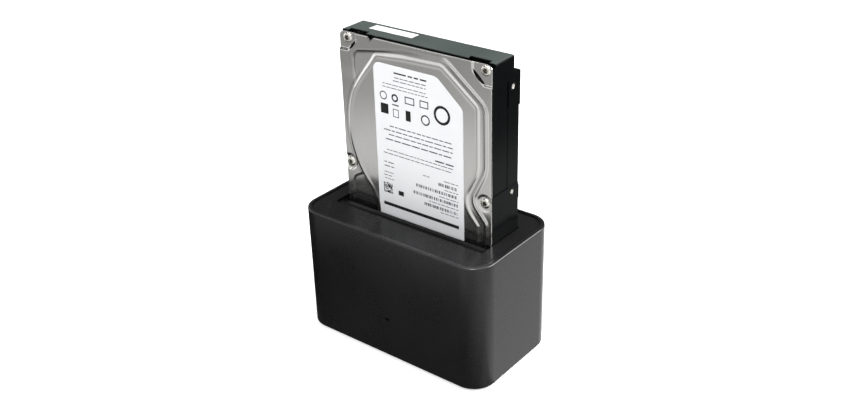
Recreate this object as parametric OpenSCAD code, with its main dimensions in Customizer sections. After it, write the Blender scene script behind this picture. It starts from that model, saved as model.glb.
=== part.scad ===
// Free-standing dock for one 3.5 inch drive, with the drive seated in it.
// Millimetres, +Z up, front towards -Y. The origin is on the table under the middle of the dock.

/* [Drive] */
// Width of the drive
drive_w = 101.6; // [96:0.1:110]
// Thickness of the drive, from its label to its board side
drive_t = 26.1; // [24:0.1:28]
// Length of the drive
drive_l = 147; // [145:0.5:156]
// How far the drive stands to the right of the slot's middle
drive_shift = 1; // [-1:0.1:1]
// How deep the drive sits below the top plate's surface
drive_depth = 45.2; // [42:0.2:48]
// Thickness of the drive's stamped cover
cover_t = 1.2; // [1:0.1:1.6]
// Depth of the channel stamped into the cover
channel_depth = 0.5; // [0.4:0.1:0.9]
// Width of the raised beads beside that channel
bead_w = 1.6; // [1:0.1:2]
// Distance from the drive's right side to the middle of its connector
plug_inset = 24; // [23:0.5:30]

/* [Slot] */
// Clearance at each end of the slot
slot_end_gap = 1.4; // [1.2:0.1:3]
// Clearance behind the drive
slot_back_gap = 0.7; // [0.4:0.1:2]
// Room in front of the drive, where the flap folds down
flap_room = 8.4; // [8:0.1:11]
// Wall of the cradle under the slot
cradle_wall = 1.8; // [1.4:0.1:2.4]
// Floor of the cradle
floor_t = 2; // [1.8:0.1:3]

/* [Dock body] */
// Height of the shell, without the feet
body_h = 76.8; // [74:0.2:90]
// Width from the slot's end to the outside of the shell
side_margin = 11.8; // [11:0.1:20]
// Width from the slot to the front of the shell
front_margin = 19.25; // [18:0.25:26]
// Width from the slot to the back of the shell
back_margin = 17.05; // [16:0.05:26]
// Radius of the shell's upright corners
corner_r = 13.5; // [11:0.5:16]
// Thickness of the shell's wall
wall = 2.4; // [2:0.1:3]
// Rounding of the shell's outer edges
rim_fillet = 0.8; // [0.3:0.1:1.4]
// Height of the feet below the shell
foot_h = 1; // [0.6:0.1:3]
// Radius of a rubber foot
foot_r = 5.5; // [4:0.5:7]

/* [Top plate] */
// Thickness of the top plate
plate_t = 2; // [1.6:0.1:2.4]
// How far the top plate lies below the rim
plate_drop = 0.7; // [0.3:0.1:1.5]
// Gap between the top plate and the shell
plate_gap = 0.25; // [0.1:0.05:0.5]
// Width of the ledge that carries the top plate
ledge_w = 1.8; // [1.2:0.1:2.4]

/* [Flap] */
// Radius of the flap's rolled root
flap_r = 2.9; // [2.6:0.1:3]
// Thickness of the flap's leaf
flap_t = 1.8; // [1.4:0.1:2.2]
// Length of the leaf from the pivot to its tip
flap_len = 19.5; // [16:0.5:20]
// Angle that the flap is folded through from its closed place
flap_fold = 99; // [96:1:100]
// Radius of a pivot pin
pin_r = 0.9; // [0.7:0.05:1]
// Turns of the flap's torsion spring
spring_turns = 5; // [3:1:5]

/* [Board and connectors] */
// Thickness of the main board
board_t = 1.6; // [1.2:0.2:2]
// Distance of the power inlet from the right side
jack_in = 30; // [26:1:34]
// Distance between the data port and the power inlet
port_pitch = 22; // [18:1:26]
// Distance of the power button from the left side
button_in = 40; // [28:1:48]
// Radius of the power button
button_r = 4; // [3:0.1:5]
// Travel of the power button
button_travel = 1.5; // [1:0.1:2]
// Width of the status light's window
window_w = 3.4; // [2:0.1:5]
// Height of the status light's window
window_h = 1.9; // [1.2:0.1:2]

/* [Hidden] */
$fn = 64;
eps = 0.02;

// Slot and body outlines, all from the drive and the margins
slot_w = drive_w + 2 * slot_end_gap;
slot_d = flap_room + drive_t + slot_back_gap;
body_w = slot_w + 2 * side_margin;
body_d = front_margin + slot_d + back_margin;
front_y = -body_d / 2;
back_y = body_d / 2;
inner_w = body_w - 2 * wall;
inner_d = body_d - 2 * wall;
inner_r = corner_r - wall;
slot_y0 = front_y + front_margin;
slot_y1 = slot_y0 + slot_d;
jack_x = body_w / 2 - jack_in;
usb_x = jack_x - port_pitch;
button_x = button_in - body_w / 2;

// Heights, from the table up
shell_z0 = foot_h;
shell_z1 = shell_z0 + body_h;
plate_z1 = shell_z1 - plate_drop;
plate_z0 = plate_z1 - plate_t;
seat_gap = 0.2;
drive_x = drive_shift - drive_w / 2;
drive_y = slot_y0 + flap_room;
drive_z = plate_z1 - drive_depth;
floor_z1 = drive_z - seat_gap;
floor_z0 = floor_z1 - floor_t;
board_boss_h = 1.3;
board_z1 = floor_z0 - board_boss_h;
board_z0 = board_z1 - board_t;
base_inset = 0.5;
base_t = 2;
base_z0 = shell_z0 + base_inset;
base_z1 = base_z0 + base_t;
ledge_h = 2;

// Self-tapping screws, all of one thread
screw_r = 1.15;
screw_head_r = 2.6;
screw_head_h = 1.6;
pilot_r = screw_r + 0.05;
pass_r = screw_r + 0.4;
screw_end_gap = 0.8;

// Corner posts and bosses, one place for all four corners
boss_r = 3;
post_r = 3.4;
boss_gap = 0.3;
web_t = 2;
wall_bite = 0.5;
boss_out = inner_r - ledge_w - boss_r - boss_gap;
web_l = inner_r - boss_out + wall_bite;
corner_x = body_w / 2 - corner_r + boss_out * cos(45);
corner_y = body_d / 2 - corner_r + boss_out * sin(45);
base_boss_h = 1.5;
base_boss_r = boss_r + 2;
head_well = 1.9;
head_gap = 0.4;
foot_seat = 0.6;
foot_gap = 0.1;
foot_in = foot_r + 1.5;
base_screw_l = 12;
post_z0 = base_z1 + base_boss_h;
post_h = 18;
lug_t = 3;
lug_r = 4.2;
lug_drop = 10;
lug_z1 = plate_z0 - lug_drop;
lug_z0 = lug_z1 - lug_t;

// Ears that hang the cradle from the top plate
ear_r = 4;
ear_t = 2;
ear_drop = 6;
ear_z1 = plate_z0 - ear_drop;
ear_z0 = ear_z1 - ear_t;
ear_reach = 5;
ear_inset = 14;
ear_x = slot_w / 2 - ear_inset;
ear_y0 = slot_y0 - cradle_wall - ear_reach;
ear_y1 = slot_y1 + cradle_wall + ear_reach;
ears = [for (sx = [-1, 1], y = [ear_y0, ear_y1]) [sx * ear_x, y]];

// Flap pivot
flap_edge_gap = 0.3;
flap_drop = 0.6;
flap_end_gap = 1.3;
flap_y = slot_y0 + flap_edge_gap + flap_r;
flap_z = plate_z1 - flap_drop - flap_r;
flap_half = slot_w / 2 - flap_end_gap;
pin_run_gap = 0.05;
pin_seat_gap = 0.02;
pin_hold = 11;
pin_end_gap = 0.2;
wire_r = 0.3;
wire_gap = 0.5;
coil_r = pin_r + 0.35 + wire_r;
coil_pitch = 2 * wire_r + wire_gap;
coil_l = spring_turns * coil_pitch;
notch_r = coil_r + wire_r + 0.35;
notch_x1 = flap_half - 1.5;
notch_x0 = notch_x1 - coil_l - 2 * wire_r - 1;
spring_leg = 8;
spring_stub = 1.5;

// Guide ribs below the folded flap
rib_t = 2;
rib_gap = 0.5;
rib_drop = 2.6;
rib_y = drive_y - rib_gap;
rib_z1 = flap_z - flap_len - rib_drop;
rib_count = 4;
rib_step = slot_w / rib_count;

// Drive connector: two L-shaped tongues, and the socket that takes them
tongue_t = 1.2;
tongue_l = 5.6;
data_w = 10.4;
power_w = 20.6;
tongue_gap = 2.4;
tongue_leg = 1.2;
tongues_w = data_w + tongue_gap + power_w;
tongue_back = 3.5;
socket_side = 2.2;
socket_lip = 0.55;
socket_reach = 5.3;
socket_fit = 0.4;
slit_gap = 0.25;
contact_gap = 0.45;
contact_t = 0.2;
contact_w = 0.7;
contact_step = 1.27;
data_pins = 7;
power_pins = 15;
plug_x = drive_x + drive_w - plug_inset;
plug_y = drive_y + drive_t - tongue_back;
socket_w = tongues_w + 2 * socket_side;
socket_y0 = -(tongue_t / 2 + tongue_leg + slit_gap + socket_lip);
socket_y1 = tongue_t / 2 + contact_gap + socket_lip;
socket_d = socket_y1 - socket_y0;
slit_depth = tongue_l + socket_fit;
plug_wall = 2;
plug_lip = 0.8;
plug_back = 0.7;
plug_w = socket_w + 2 * socket_fit + 2 * plug_wall;
plug_y0 = socket_y0 - socket_fit - plug_lip;
plug_y1 = socket_y1 + socket_fit + plug_back;
plug_h = 12;
plug_sunk = 0.3;
plug_fit = 0.3;
plug_mouth = socket_reach + 1;

// Main board outline and the pieces on it
board_end_gap = 4;
board_edge_gap = 2.2;
board_w = slot_w - 2 * board_end_gap;
board_y0 = front_y + wall + board_edge_gap;
board_y1 = back_y - wall - board_edge_gap;
board_screw_inset = 4;
board_screw_y0 = slot_y0 + 6.5;
board_screw_y1 = slot_y1 - 6;
board_screw_x = board_w / 2 - board_screw_inset;
board_screw_mid = plug_x - socket_w / 2 - 9;
board_holes = [
    [-board_screw_x, board_screw_y0],
    [board_screw_x, board_screw_y0],
    [-board_screw_x, board_screw_y1],
    [board_screw_mid, board_screw_y1]
];
chip_y = slot_y0 + 12;
bridge_x = 4;
flash_x = -12;
crystal_x = 18;
inductor_in = 14.2;
inductor_x = board_w / 2 - inductor_in;
capacitor_in = 10.2;
capacitor_x = capacitor_in - board_w / 2;
capacitor_back = 8;
capacitor_step = 9;
capacitor_r = 3.15;
capacitor_h = 7.7;
led_drop = 1.3;
window_z = board_z0 - led_drop;
port_gap = 0.25;
port_y = back_y - wall - port_gap;

// Rear connectors
usb_w = 12;
usb_h = 13;
usb_l = 17;
usb_skin = 0.4;
usb_cut_gap = 0.5;
usb_mouth_w = 8.7;
usb_mouth_h = 7.9;
usb_hump_w = 5.8;
usb_hump_h = 2.7;
usb_mouth_l = 9;
usb_bevel = 1.4;
usb_tongue_w = 5.7;
usb_tongue_h = 3.2;
usb_tongue_in = 1;
usb_shelf_w = 4.8;
usb_shelf_h = 1;
usb_low = -(usb_mouth_h + usb_hump_h) / 2;
jack_w = 9;
jack_h = 11;
jack_l = 13.5;
jack_bore_r = 3.15;
jack_bore_l = 10.5;
jack_nose_r = 4;
jack_pin_r = 1.05;
jack_pin_l = 9;
jack_z = board_z0 - jack_h / 2;
nose_gap = 0.3;
switch_w = 8.6;
switch_l = 9;
switch_gap = 1.1;
stem_r = 1.6;
stem_gap = 0.3;
stem_in = 5;
button_gap = 0.3;
button_sunk = 0.2;
button_flange = 0.9;
button_flange_t = 1.2;
switch_z = board_z0 - button_r - button_flange - button_gap;
flange_y1 = back_y - wall - button_gap;
switch_y1 = flange_y1 - button_flange_t - button_travel - switch_gap;

// Drive housing, from its own left, front and connector end
label_t = 0.1;
bead_h = 0.25;
face_rise = 0.25;
face_y = bead_h;
border_y = face_y + face_rise;
cover_y1 = border_y + cover_t;
back_pad = 0.6;
casting_y1 = drive_t - back_pad;
casting_l = drive_l - label_t;
casting_r = 1.2;
cover_margin = 0.3;
cover_l = drive_l - 0.4;
disk_x = drive_w / 2 + 7.5;
disk_z = drive_l - 53.8;
disk_r = 54;
ground_x = 22.5;
ground_z = 8;
contour_side = 8;
contour_far = 8.1;
contour_near = 10;
contour_step = 1;
contour_dodge = 16.5;
dodge_bends = [-12, -5.5, 6, 19];
chamfer_w = 24;
chamfer_h = 17.6;
channel_w = 4.6;
pocket_x0 = 10.2;
pocket_far = 3.8;
pocket_cut = 6;
low_x0 = 5;
low_top = 62;
label_x0 = 24.2;
label_right = 17.7;
label_z0 = 12;
label_far = 12.9;
label_cut = [16.8, 14.7];
strip_x = 13;
strip_y = 11.2;
strip_l = 29.5;
strip_w = 6.4;
motor_x = drive_w / 2;
cavity_wall = 4.2;
cavity_r = motor_x - cavity_wall;
cavity_depth = 18.5;
motor_r = 13.5;
motor_gap = 0.3;
motor_depth = 1.6;
motor_sunk = 0.3;
groove_r = 9;
groove_w = 2;
groove_depth = 0.5;
side_hole_r = 1.6;
side_hole_l = 5;
side_hole_back = 6.35;
side_holes = [28.5, 70.1, 130.1];
base_holes = [41.3, 117.5];
base_hole_inset = 3.2;
top_step_t = 5.84;
top_step_h = 9.5;
pcb_t = 1.6;
pcb_depth = 3;
pcb_lift = 0.9;
pcb_margin = 3.5;
pcb_z0 = 14;
pcb_z1 = 64;
pcb_gap = 0.5;
pcb_screw_inset = 5;
drive_screw_head_r = 2.7;
drive_screw_head_h = 0.9;
drive_screw_r = 1.2;
drive_screw_l = 5;
drive_screw_gap = 0.1;
drive_head_gap = 0.15;
drive_head_rise = 0.2;
drive_seat_y = border_y + drive_screw_head_h - drive_head_rise;
drive_bit_r = 1.3;
drive_bit_l = 0.6;
left_screw_in = 6.2;
right_screw_in = 4;
far_screw_in = 3.6;
near_screw_in = 4.5;
mid_screw_in = [3.2, 4.4];
mid_screw_drop = [78.4, 77.6];
cover_screws = [
    [left_screw_in, drive_l - far_screw_in],
    [drive_w - right_screw_in, drive_l - far_screw_in],
    [mid_screw_in[0], drive_l - mid_screw_drop[0]],
    [drive_w - mid_screw_in[1], drive_l - mid_screw_drop[1]],
    [left_screw_in, near_screw_in],
    [drive_w - right_screw_in, near_screw_in]
];
pcb_screws = [
    for (x = [pcb_margin + pcb_screw_inset, drive_w - pcb_margin - pcb_screw_inset])
    for (z = [pcb_z0 + pcb_screw_inset, pcb_z1 - pcb_screw_inset]) [x, z]
];

// Helpers

function unit(v) = v / norm(v);

// Points of an arc that rounds the corner b between a and c
function round_corner(a, b, c, r, steps) =
    let (u = unit(a - b), v = unit(c - b))
    let (half = acos(u * v) / 2)
    let (centre = b + unit(u + v) * r / sin(half))
    let (p = b + u * r / tan(half) - centre, q = b + v * r / tan(half) - centre)
    let (start = atan2(p.y, p.x), turn = (atan2(q.y, q.x) - start + 540) % 360 - 180)
    [for (i = [0:steps]) centre + r * [cos(start + turn * i / steps), sin(start + turn * i / steps)]];

// Outline with each corner rounded by its own radius: corners are [x, y, r]
function round_outline(c, steps = 6) =
    let (n = len(c), p = [for (k = c) [k.x, k.y]])
    [for (i = [0:n - 1]) each round_corner(p[(i + n - 1) % n], p[i], p[(i + 1) % n], c[i].z, steps)];

module rounded_rect(w, d, r) {
    square([w - 2 * r, d], center = true);
    square([w, d - 2 * r], center = true);
    for (sx = [-1, 1], sy = [-1, 1])
        translate([sx * (w / 2 - r), sy * (d / 2 - r)]) circle(r);
}

module obround(w, h) {
    square([w - h, h], center = true);
    for (s = [-1, 1])
        translate([s * (w - h) / 2, 0]) circle(h / 2);
}

// Carries a wall profile round a rounded rectangle: x = 0 is its outer face, y is height
module around_body(w, d, r) {
    half = [w / 2, d / 2, w / 2, d / 2];
    run = [d - 2 * r, w - 2 * r, d - 2 * r, w - 2 * r];
    side = [[1, 1], [-1, 1], [-1, -1], [1, -1]];
    for (i = [0:3]) {
        rotate(90 * i)
            translate([half[i], 0, 0]) rotate([90, 0, 0]) linear_extrude(run[i], center = true) children();
        translate([side[i].x * (w / 2 - r), side[i].y * (d / 2 - r), 0])
            rotate(90 * i) rotate_extrude(angle = 90) translate([r, 0]) children();
    }
}

// Repeats a piece in the four corners, with its own +X pointing at the corner
module in_corners() {
    for (sx = [-1, 1], sy = [-1, 1])
        translate([sx * corner_x, sy * corner_y, 0]) rotate(atan2(sy, sx)) children();
}

// Draws on a plane that faces the front: the outline's y is height
module upright(y0, t) {
    translate([0, y0 + t, 0]) rotate([90, 0, 0]) linear_extrude(t) children();
}

// Round piece along +Y
module along_y(y0, l, r) {
    translate([0, y0, 0]) rotate([-90, 0, 0]) cylinder(h = l, r = r);
}

// Round piece along +X
module along_x(x0, l, r) {
    translate([x0, 0, 0]) rotate([0, 90, 0]) cylinder(h = l, r = r);
}

// Pan-head screw with a cross recess, pointing up, with its head's seat at z = 0
module screw(l, shank_r = screw_r, head_r = screw_head_r, head_h = screw_head_h) {
    recess = head_h / 2;
    bar = head_r / 4;
    cylinder(h = l, r = shank_r);
    difference() {
        translate([0, 0, -head_h]) cylinder(h = head_h, r = head_r);
        for (a = [0, 90])
            rotate(a) translate([-head_r * 0.6, -bar / 2, -head_h - eps])
                cube([head_r * 1.2, bar, recess + eps]);
    }
}

// One closed tube along a list of points in planes that face +X or wind round it
module wire_tube(path, r, sides = 6) {
    n = len(path);
    function along(i) = unit(path[min(i + 1, n - 1)] - path[max(i - 1, 0)]);
    function ring(i) =
        let (t = along(i), u = unit(cross(t, [1, 0, 0])), v = cross(t, u))
        [for (k = [0:sides - 1]) path[i] + r * (cos(360 * k / sides) * u + sin(360 * k / sides) * v)];
    points = [for (i = [0:n - 1]) each ring(i)];
    skin = [
        for (i = [0:n - 2], k = [0:sides - 1])
        let (a = i * sides + k, b = i * sides + (k + 1) % sides)
        each [[a, b, a + sides], [b, b + sides, a + sides]]
    ];
    near = [for (k = [1:sides - 2]) [0, k + 1, k]];
    far = [for (k = [1:sides - 2]) [(n - 1) * sides, (n - 1) * sides + k, (n - 1) * sides + k + 1]];
    polyhedron(points = points, faces = concat(skin, near, far));
}

// Dock shell and base

module wall_profile() {
    ledge_y = plate_z0 - shell_z0;
    translate([-wall, 0]) square([wall - rim_fillet, body_h]);
    translate([-rim_fillet - eps, rim_fillet]) square([rim_fillet + eps, body_h - 2 * rim_fillet]);
    for (y = [rim_fillet, body_h - rim_fillet])
        translate([-rim_fillet, y]) circle(rim_fillet);
    polygon([
        [-wall - ledge_w, ledge_y],
        [-wall + eps, ledge_y],
        [-wall + eps, ledge_y - ledge_h - ledge_w],
        [-wall - ledge_w, ledge_y - ledge_h]
    ]);
}

// Upright post or lug with a web that ties it to the corner of the shell
module corner_post(z, h, r, hole_r) {
    difference() {
        translate([0, 0, z]) {
            cylinder(h = h, r = r);
            translate([0, -web_t / 2, 0]) cube([web_l, web_t, h]);
        }
        translate([0, 0, z - eps]) cylinder(h = h + 2 * eps, r = hole_r);
    }
}

module rear_openings() {
    cut = wall + 2;
    translate([usb_x, back_y - cut / 2, board_z0 - usb_h / 2])
        cube([usb_w + 2 * usb_cut_gap, cut * 2, usb_h + 2 * usb_cut_gap], center = true);
    translate([jack_x, 0, jack_z]) along_y(back_y - cut, 2 * cut, jack_nose_r + nose_gap);
    translate([button_x, 0, switch_z]) along_y(back_y - cut, 2 * cut, button_r + button_gap);
}

module outer_shell() {
    color("#2e2f31") {
        difference() {
            translate([0, 0, shell_z0]) around_body(body_w, body_d, corner_r) wall_profile();
            rear_openings();
            translate([0, 0, window_z]) upright(front_y - 1, wall + 2) obround(window_w, window_h);
        }
        in_corners() {
            corner_post(post_z0, post_h, post_r, pilot_r);
            corner_post(lug_z0, lug_t, lug_r, pass_r);
        }
    }
}

module top_plate() {
    color("#242527") {
        difference() {
            translate([0, 0, plate_z0]) linear_extrude(plate_t)
                rounded_rect(inner_w - 2 * plate_gap, inner_d - 2 * plate_gap, inner_r - plate_gap);
            translate([-slot_w / 2, slot_y0, plate_z0 - 1]) cube([slot_w, slot_d, plate_t + 2]);
        }
        in_corners() plate_boss(lug_z1);
        for (e = ears)
            translate([e.x, e.y, 0]) plate_boss(ear_z1);
    }
}

// Boss under the top plate for one screw
module plate_boss(z) {
    difference() {
        translate([0, 0, z]) cylinder(h = plate_z0 - z + eps, r = boss_r);
        translate([0, 0, z - eps]) cylinder(h = plate_z0 - z, r = pilot_r);
    }
}

module base_plate() {
    rib_w = 1.2;
    rib_h = 3;
    color("#2a2b2d")
        difference() {
            union() {
                translate([0, 0, base_z0]) linear_extrude(base_t)
                    rounded_rect(inner_w - 2 * plate_gap, inner_d - 2 * plate_gap, inner_r - plate_gap);
                in_corners() translate([0, 0, base_z0]) cylinder(h = post_z0 - base_z0, r = base_boss_r);
                for (sx = [-1, 1])
                    translate([sx * slot_w / 4 - rib_w / 2, -slot_d / 2, base_z1 - eps])
                        cube([rib_w, slot_d, rib_h]);
                for (sy = [-1, 1])
                    translate([-slot_w / 2, sy * slot_d / 4 - rib_w / 2, base_z1 - eps])
                        cube([slot_w, rib_w, rib_h]);
            }
            in_corners() {
                translate([0, 0, base_z0 - 1]) cylinder(h = 1 + head_well, r = screw_head_r + head_gap);
                translate([0, 0, base_z0]) cylinder(h = post_z0, r = pass_r);
            }
            foot_places() translate([0, 0, base_z0 - 1]) cylinder(h = 1 + foot_seat, r = foot_r + foot_gap);
        }
}

module foot_places() {
    for (sx = [-1, 1], sy = [-1, 1])
        translate([sx * (corner_x - base_boss_r - foot_in), sy * (corner_y - foot_in), 0]) children();
}

module rubber_feet() {
    edge = 0.5;
    top = base_z0 + foot_seat;
    color("#1b1b1c")
        foot_places() rotate_extrude()
            polygon([[0, 0], [foot_r - edge, 0], [foot_r, edge], [foot_r, top], [0, top]]);
}

module base_screws() {
    color("silver")
        in_corners() translate([0, 0, base_z0 + head_well]) screw(base_screw_l);
}

module top_screws() {
    color("silver")
        in_corners() translate([0, 0, lug_z0]) screw(lug_t + lug_drop - screw_end_gap);
}

module cradle_screws() {
    color("silver")
        for (e = ears)
            translate([e.x, e.y, ear_z0]) screw(ear_t + ear_drop - screw_end_gap);
}

module board_screws() {
    color("silver")
        for (h = board_holes)
            translate([h.x, h.y, board_z0]) screw(board_t + board_boss_h + floor_t - 2 * screw_end_gap);
}

// Cradle

module drive_cradle() {
    outer_w = slot_w + 2 * cradle_wall;
    outer_d = slot_d + 2 * cradle_wall;
    socket_room = 0.6;
    color("#1f2022") {
        difference() {
            union() {
                translate([-outer_w / 2, slot_y0 - cradle_wall, floor_z0])
                    cube([outer_w, outer_d, plate_z0 - floor_z0]);
                for (e = ears)
                    cradle_ear(e);
                for (h = board_holes)
                    translate([h.x, h.y, board_z1]) cylinder(h = board_boss_h + eps, r = boss_r);
            }
            translate([-slot_w / 2, slot_y0, floor_z1]) cube([slot_w, slot_d, plate_z0]);
            for (h = board_holes)
                translate([h.x, h.y, board_z1 - eps])
                    cylinder(h = board_boss_h + floor_t - screw_end_gap, r = pilot_r);
            for (e = ears)
                translate([e.x, e.y, ear_z0 - eps]) cylinder(h = ear_t + 2 * eps, r = pass_r);
            translate([plug_x - socket_w / 2 - socket_room, plug_y + socket_y0 - socket_room, floor_z0 - 1])
                cube([socket_w + 2 * socket_room, socket_d + 2 * socket_room, floor_t + 2]);
            translate([0, flap_y, flap_z]) along_x(-outer_w / 2 - 1, outer_w + 2, pin_r + pin_run_gap);
        }
        for (i = [0:rib_count - 1])
            translate([(i + 0.5) * rib_step - slot_w / 2 - rib_t / 2, 0, 0]) guide_rib();
    }
}

// Ear on the outside of the cradle, in line with a boss of the top plate
module cradle_ear(e) {
    seat_y = e.y < slot_y0 ? slot_y0 - cradle_wall + eps : slot_y1 + cradle_wall - eps;
    translate([e.x, e.y, ear_z0]) cylinder(h = ear_t, r = ear_r);
    translate([e.x - ear_r, min(e.y, seat_y), ear_z0]) cube([2 * ear_r, abs(seat_y - e.y), ear_t]);
}

// Rib that guides the drive's face, sloped at the top to lead it in
module guide_rib() {
    rotate([90, 0, 90]) linear_extrude(rib_t)
        polygon([
            [slot_y0 - eps, floor_z1 - eps],
            [rib_y, floor_z1 - eps],
            [rib_y, rib_z1 - (rib_y - slot_y0)],
            [slot_y0 - eps, rib_z1]
        ]);
}

// Flap, drawn closed about its pivot and then folded down

module at_flap() {
    translate([0, flap_y, flap_z]) rotate([-flap_fold, 0, 0]) children();
}

module flap_section() {
    circle(flap_r);
    translate([-flap_r, 0]) square([flap_r, flap_r]);
    translate([-flap_r, flap_r - flap_t]) square([flap_r + flap_len, flap_t]);
}

module flap_door() {
    color("#303134")
        at_flap() difference() {
            rotate([90, 0, 90]) linear_extrude(2 * flap_half, center = true) flap_section();
            for (s = [-1, 1])
                along_x(s > 0 ? flap_half - pin_hold : -flap_half - 1, pin_hold + 1, pin_r + pin_seat_gap);
            along_x(notch_x0, notch_x1 - notch_x0, notch_r);
            translate([notch_x0, -notch_r, -flap_r - 1])
                cube([notch_x1 - notch_x0, 2 * flap_r + notch_r, flap_r + 1]);
        }
}

module flap_pins() {
    reach = slot_w / 2 + cradle_wall - pin_end_gap;
    inner = flap_half - pin_hold + pin_end_gap;
    color("silver")
        at_flap() for (x = [-reach, inner])
            along_x(x, reach - inner, pin_r);
}

// Torsion spring: a long leg under the leaf, its turns round the pin, and a short leg
module flap_spring() {
    rings = 8;
    x0 = notch_x0 + wire_r + 0.5;
    leaf_z = flap_r - flap_t - wire_r - 0.05;
    turns = [
        for (i = [0:spring_turns * rings])
        let (a = -90 - 360 * i / rings)
        [x0 + coil_l * i / (spring_turns * rings), coil_r * cos(a), coil_r * sin(a)]
    ];
    leg = [[x0, spring_leg, leaf_z], [x0, spring_leg - 1, leaf_z], [x0, coil_r + 0.5, -coil_r * 0.9]];
    stub = [[x0 + coil_l, -spring_stub, -coil_r]];
    color("silver")
        at_flap() wire_tube(concat(leg, turns, stub), wire_r);
}

// Main board and its pieces

module main_board() {
    color("#1d5b3a")
        difference() {
            translate([-board_w / 2, board_y0, board_z0]) cube([board_w, board_y1 - board_y0, board_t]);
            for (h = board_holes)
                translate([h.x, h.y, board_z0 - 1]) cylinder(h = board_t + 2, r = pass_r);
        }
}

// L-shaped tongues of the drive's connector, grown by a gap for the socket's slits
module tongue_outline(gap, contact_side) {
    for (t = [[-tongues_w / 2, data_w], [tongues_w / 2 - power_w, power_w]]) {
        translate([t.x - gap, -tongue_t / 2 - gap])
            square([t.y + 2 * gap, tongue_t + gap + contact_side]);
        translate([t.x - gap, -tongue_t / 2 - tongue_leg - gap])
            square([tongue_t + 2 * gap, tongue_leg + 2 * gap]);
    }
}

// Row of contacts along the tongues: y0 is the side that they lie on
module contact_rows(y0, z0, h) {
    for (row = [[-tongues_w / 2 + data_w / 2, data_pins], [tongues_w / 2 - power_w / 2, power_pins]])
        for (i = [0:row.y - 1])
            translate([row.x + (i - (row.y - 1) / 2) * contact_step - contact_w / 2, y0, z0])
                cube([contact_w, contact_t, h]);
}

module sata_socket() {
    top = drive_z + socket_reach;
    color("#161617")
        translate([plug_x, plug_y, 0]) difference() {
            translate([-socket_w / 2, socket_y0, board_z1]) cube([socket_w, socket_d, top - board_z1]);
            translate([0, 0, top - slit_depth]) linear_extrude(slit_depth + 1)
                tongue_outline(slit_gap, contact_gap);
        }
}

module sata_contacts() {
    contact_l = slit_depth - 0.6;
    color("gold")
        translate([plug_x, plug_y, drive_z + socket_reach - slit_depth])
            contact_rows(tongue_t / 2 + contact_gap - contact_t, 0, contact_l);
}

module bridge_chip() {
    chip_w = 9;
    chip_t = 1.4;
    lead = [0.4, 1, 0.2];
    leads = 10;
    pitch = 0.8;
    color("#1a1a1a")
        translate([bridge_x, chip_y, board_z0 - chip_t]) {
            translate([-chip_w / 2, -chip_w / 2, 0]) cube([chip_w, chip_w, chip_t - 0.1]);
            for (a = [0:90:270], i = [0:leads - 1])
                rotate(a) translate([(i - (leads - 1) / 2) * pitch - lead.x / 2, chip_w / 2 - eps, 0])
                    translate([0, 0, chip_t - lead.z]) cube(lead);
        }
}

module flash_chip() {
    size = [5, 4, 1.5];
    lead = [0.4, 1, 0.2];
    pitch = 1.27;
    color("#1a1a1a")
        translate([flash_x, chip_y, board_z0 - size.z]) {
            translate([-size.x / 2, -size.y / 2, 0]) cube([size.x, size.y, size.z - 0.1]);
            for (s = [-1, 1], i = [0:3])
                translate([(i - 1.5) * pitch, s * ((size.y + lead.y) / 2 - eps), size.z - lead.z / 2])
                    cube(lead, center = true);
        }
}

module crystal_can() {
    can = [11, 4.6, 3.5];
    color("silver")
        translate([crystal_x, chip_y, board_z0 - can.z]) linear_extrude(can.z) obround(can.x, can.y);
}

module filter_capacitors() {
    color("#3a4a6a")
        for (i = [0:2])
            translate([capacitor_x + i * capacitor_step, chip_y + capacitor_back, board_z0 - capacitor_h])
                cylinder(h = capacitor_h, r = capacitor_r);
}

module power_inductor() {
    size = [9, 9, 4];
    coil_edge = 1.5;
    color("#3b3b3d")
        translate([inductor_x, chip_y + 2, board_z0 - size.z]) linear_extrude(size.z)
            rounded_rect(size.x, size.y, coil_edge);
}

module status_led() {
    led_w = 3.2;
    led_d = 1.4;
    color("white")
        translate([-led_w / 2, board_y0, board_z0 - 2 * led_drop]) cube([led_w, led_d, 2 * led_drop]);
}

// Clear pipe from the light to its window, with a flange against the inside of the wall
module light_pipe() {
    fit = 0.1;
    sunk = 0.6;
    flange = 1.1;
    flange_t = 0.8;
    y0 = front_y + sunk;
    color("#3a3d40")
        translate([0, 0, window_z]) {
            upright(y0, board_y0 - 0.1 - y0) obround(window_w - 2 * fit, window_h - 2 * fit);
            upright(front_y + wall + fit / 2, flange_t)
                obround(window_w + 2 * flange, window_h + 2 * flange / 2);
        }
}

// Rear connectors, hung under the board

module usb_port_shell() {
    color("silver")
        translate([usb_x - usb_w / 2, port_y - usb_l, board_z0 - usb_h]) difference() {
            cube([usb_w, usb_l, usb_h]);
            translate([usb_skin, usb_skin, usb_skin])
                cube([usb_w - 2 * usb_skin, usb_l, usb_h - 2 * usb_skin]);
        }
}

// Mouth of the data port: a square body with two bevels and a narrower part below it
module usb_mouth() {
    step = usb_low + usb_hump_h;
    polygon([
        [-usb_mouth_w / 2, -usb_low],
        [-usb_mouth_w / 2, step + usb_bevel],
        [-usb_mouth_w / 2 + usb_bevel, step],
        [-usb_hump_w / 2, step],
        [-usb_hump_w / 2, usb_low],
        [usb_hump_w / 2, usb_low],
        [usb_hump_w / 2, step],
        [usb_mouth_w / 2 - usb_bevel, step],
        [usb_mouth_w / 2, step + usb_bevel],
        [usb_mouth_w / 2, -usb_low]
    ]);
}

// Tongue in the middle of the mouth's body, and the shelf in the middle of its narrower part
module usb_tongues() {
    translate([0, usb_hump_h / 2]) square([usb_tongue_w, usb_tongue_h], center = true);
    translate([0, usb_low + usb_hump_h / 2]) square([usb_shelf_w, usb_shelf_h], center = true);
}

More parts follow.
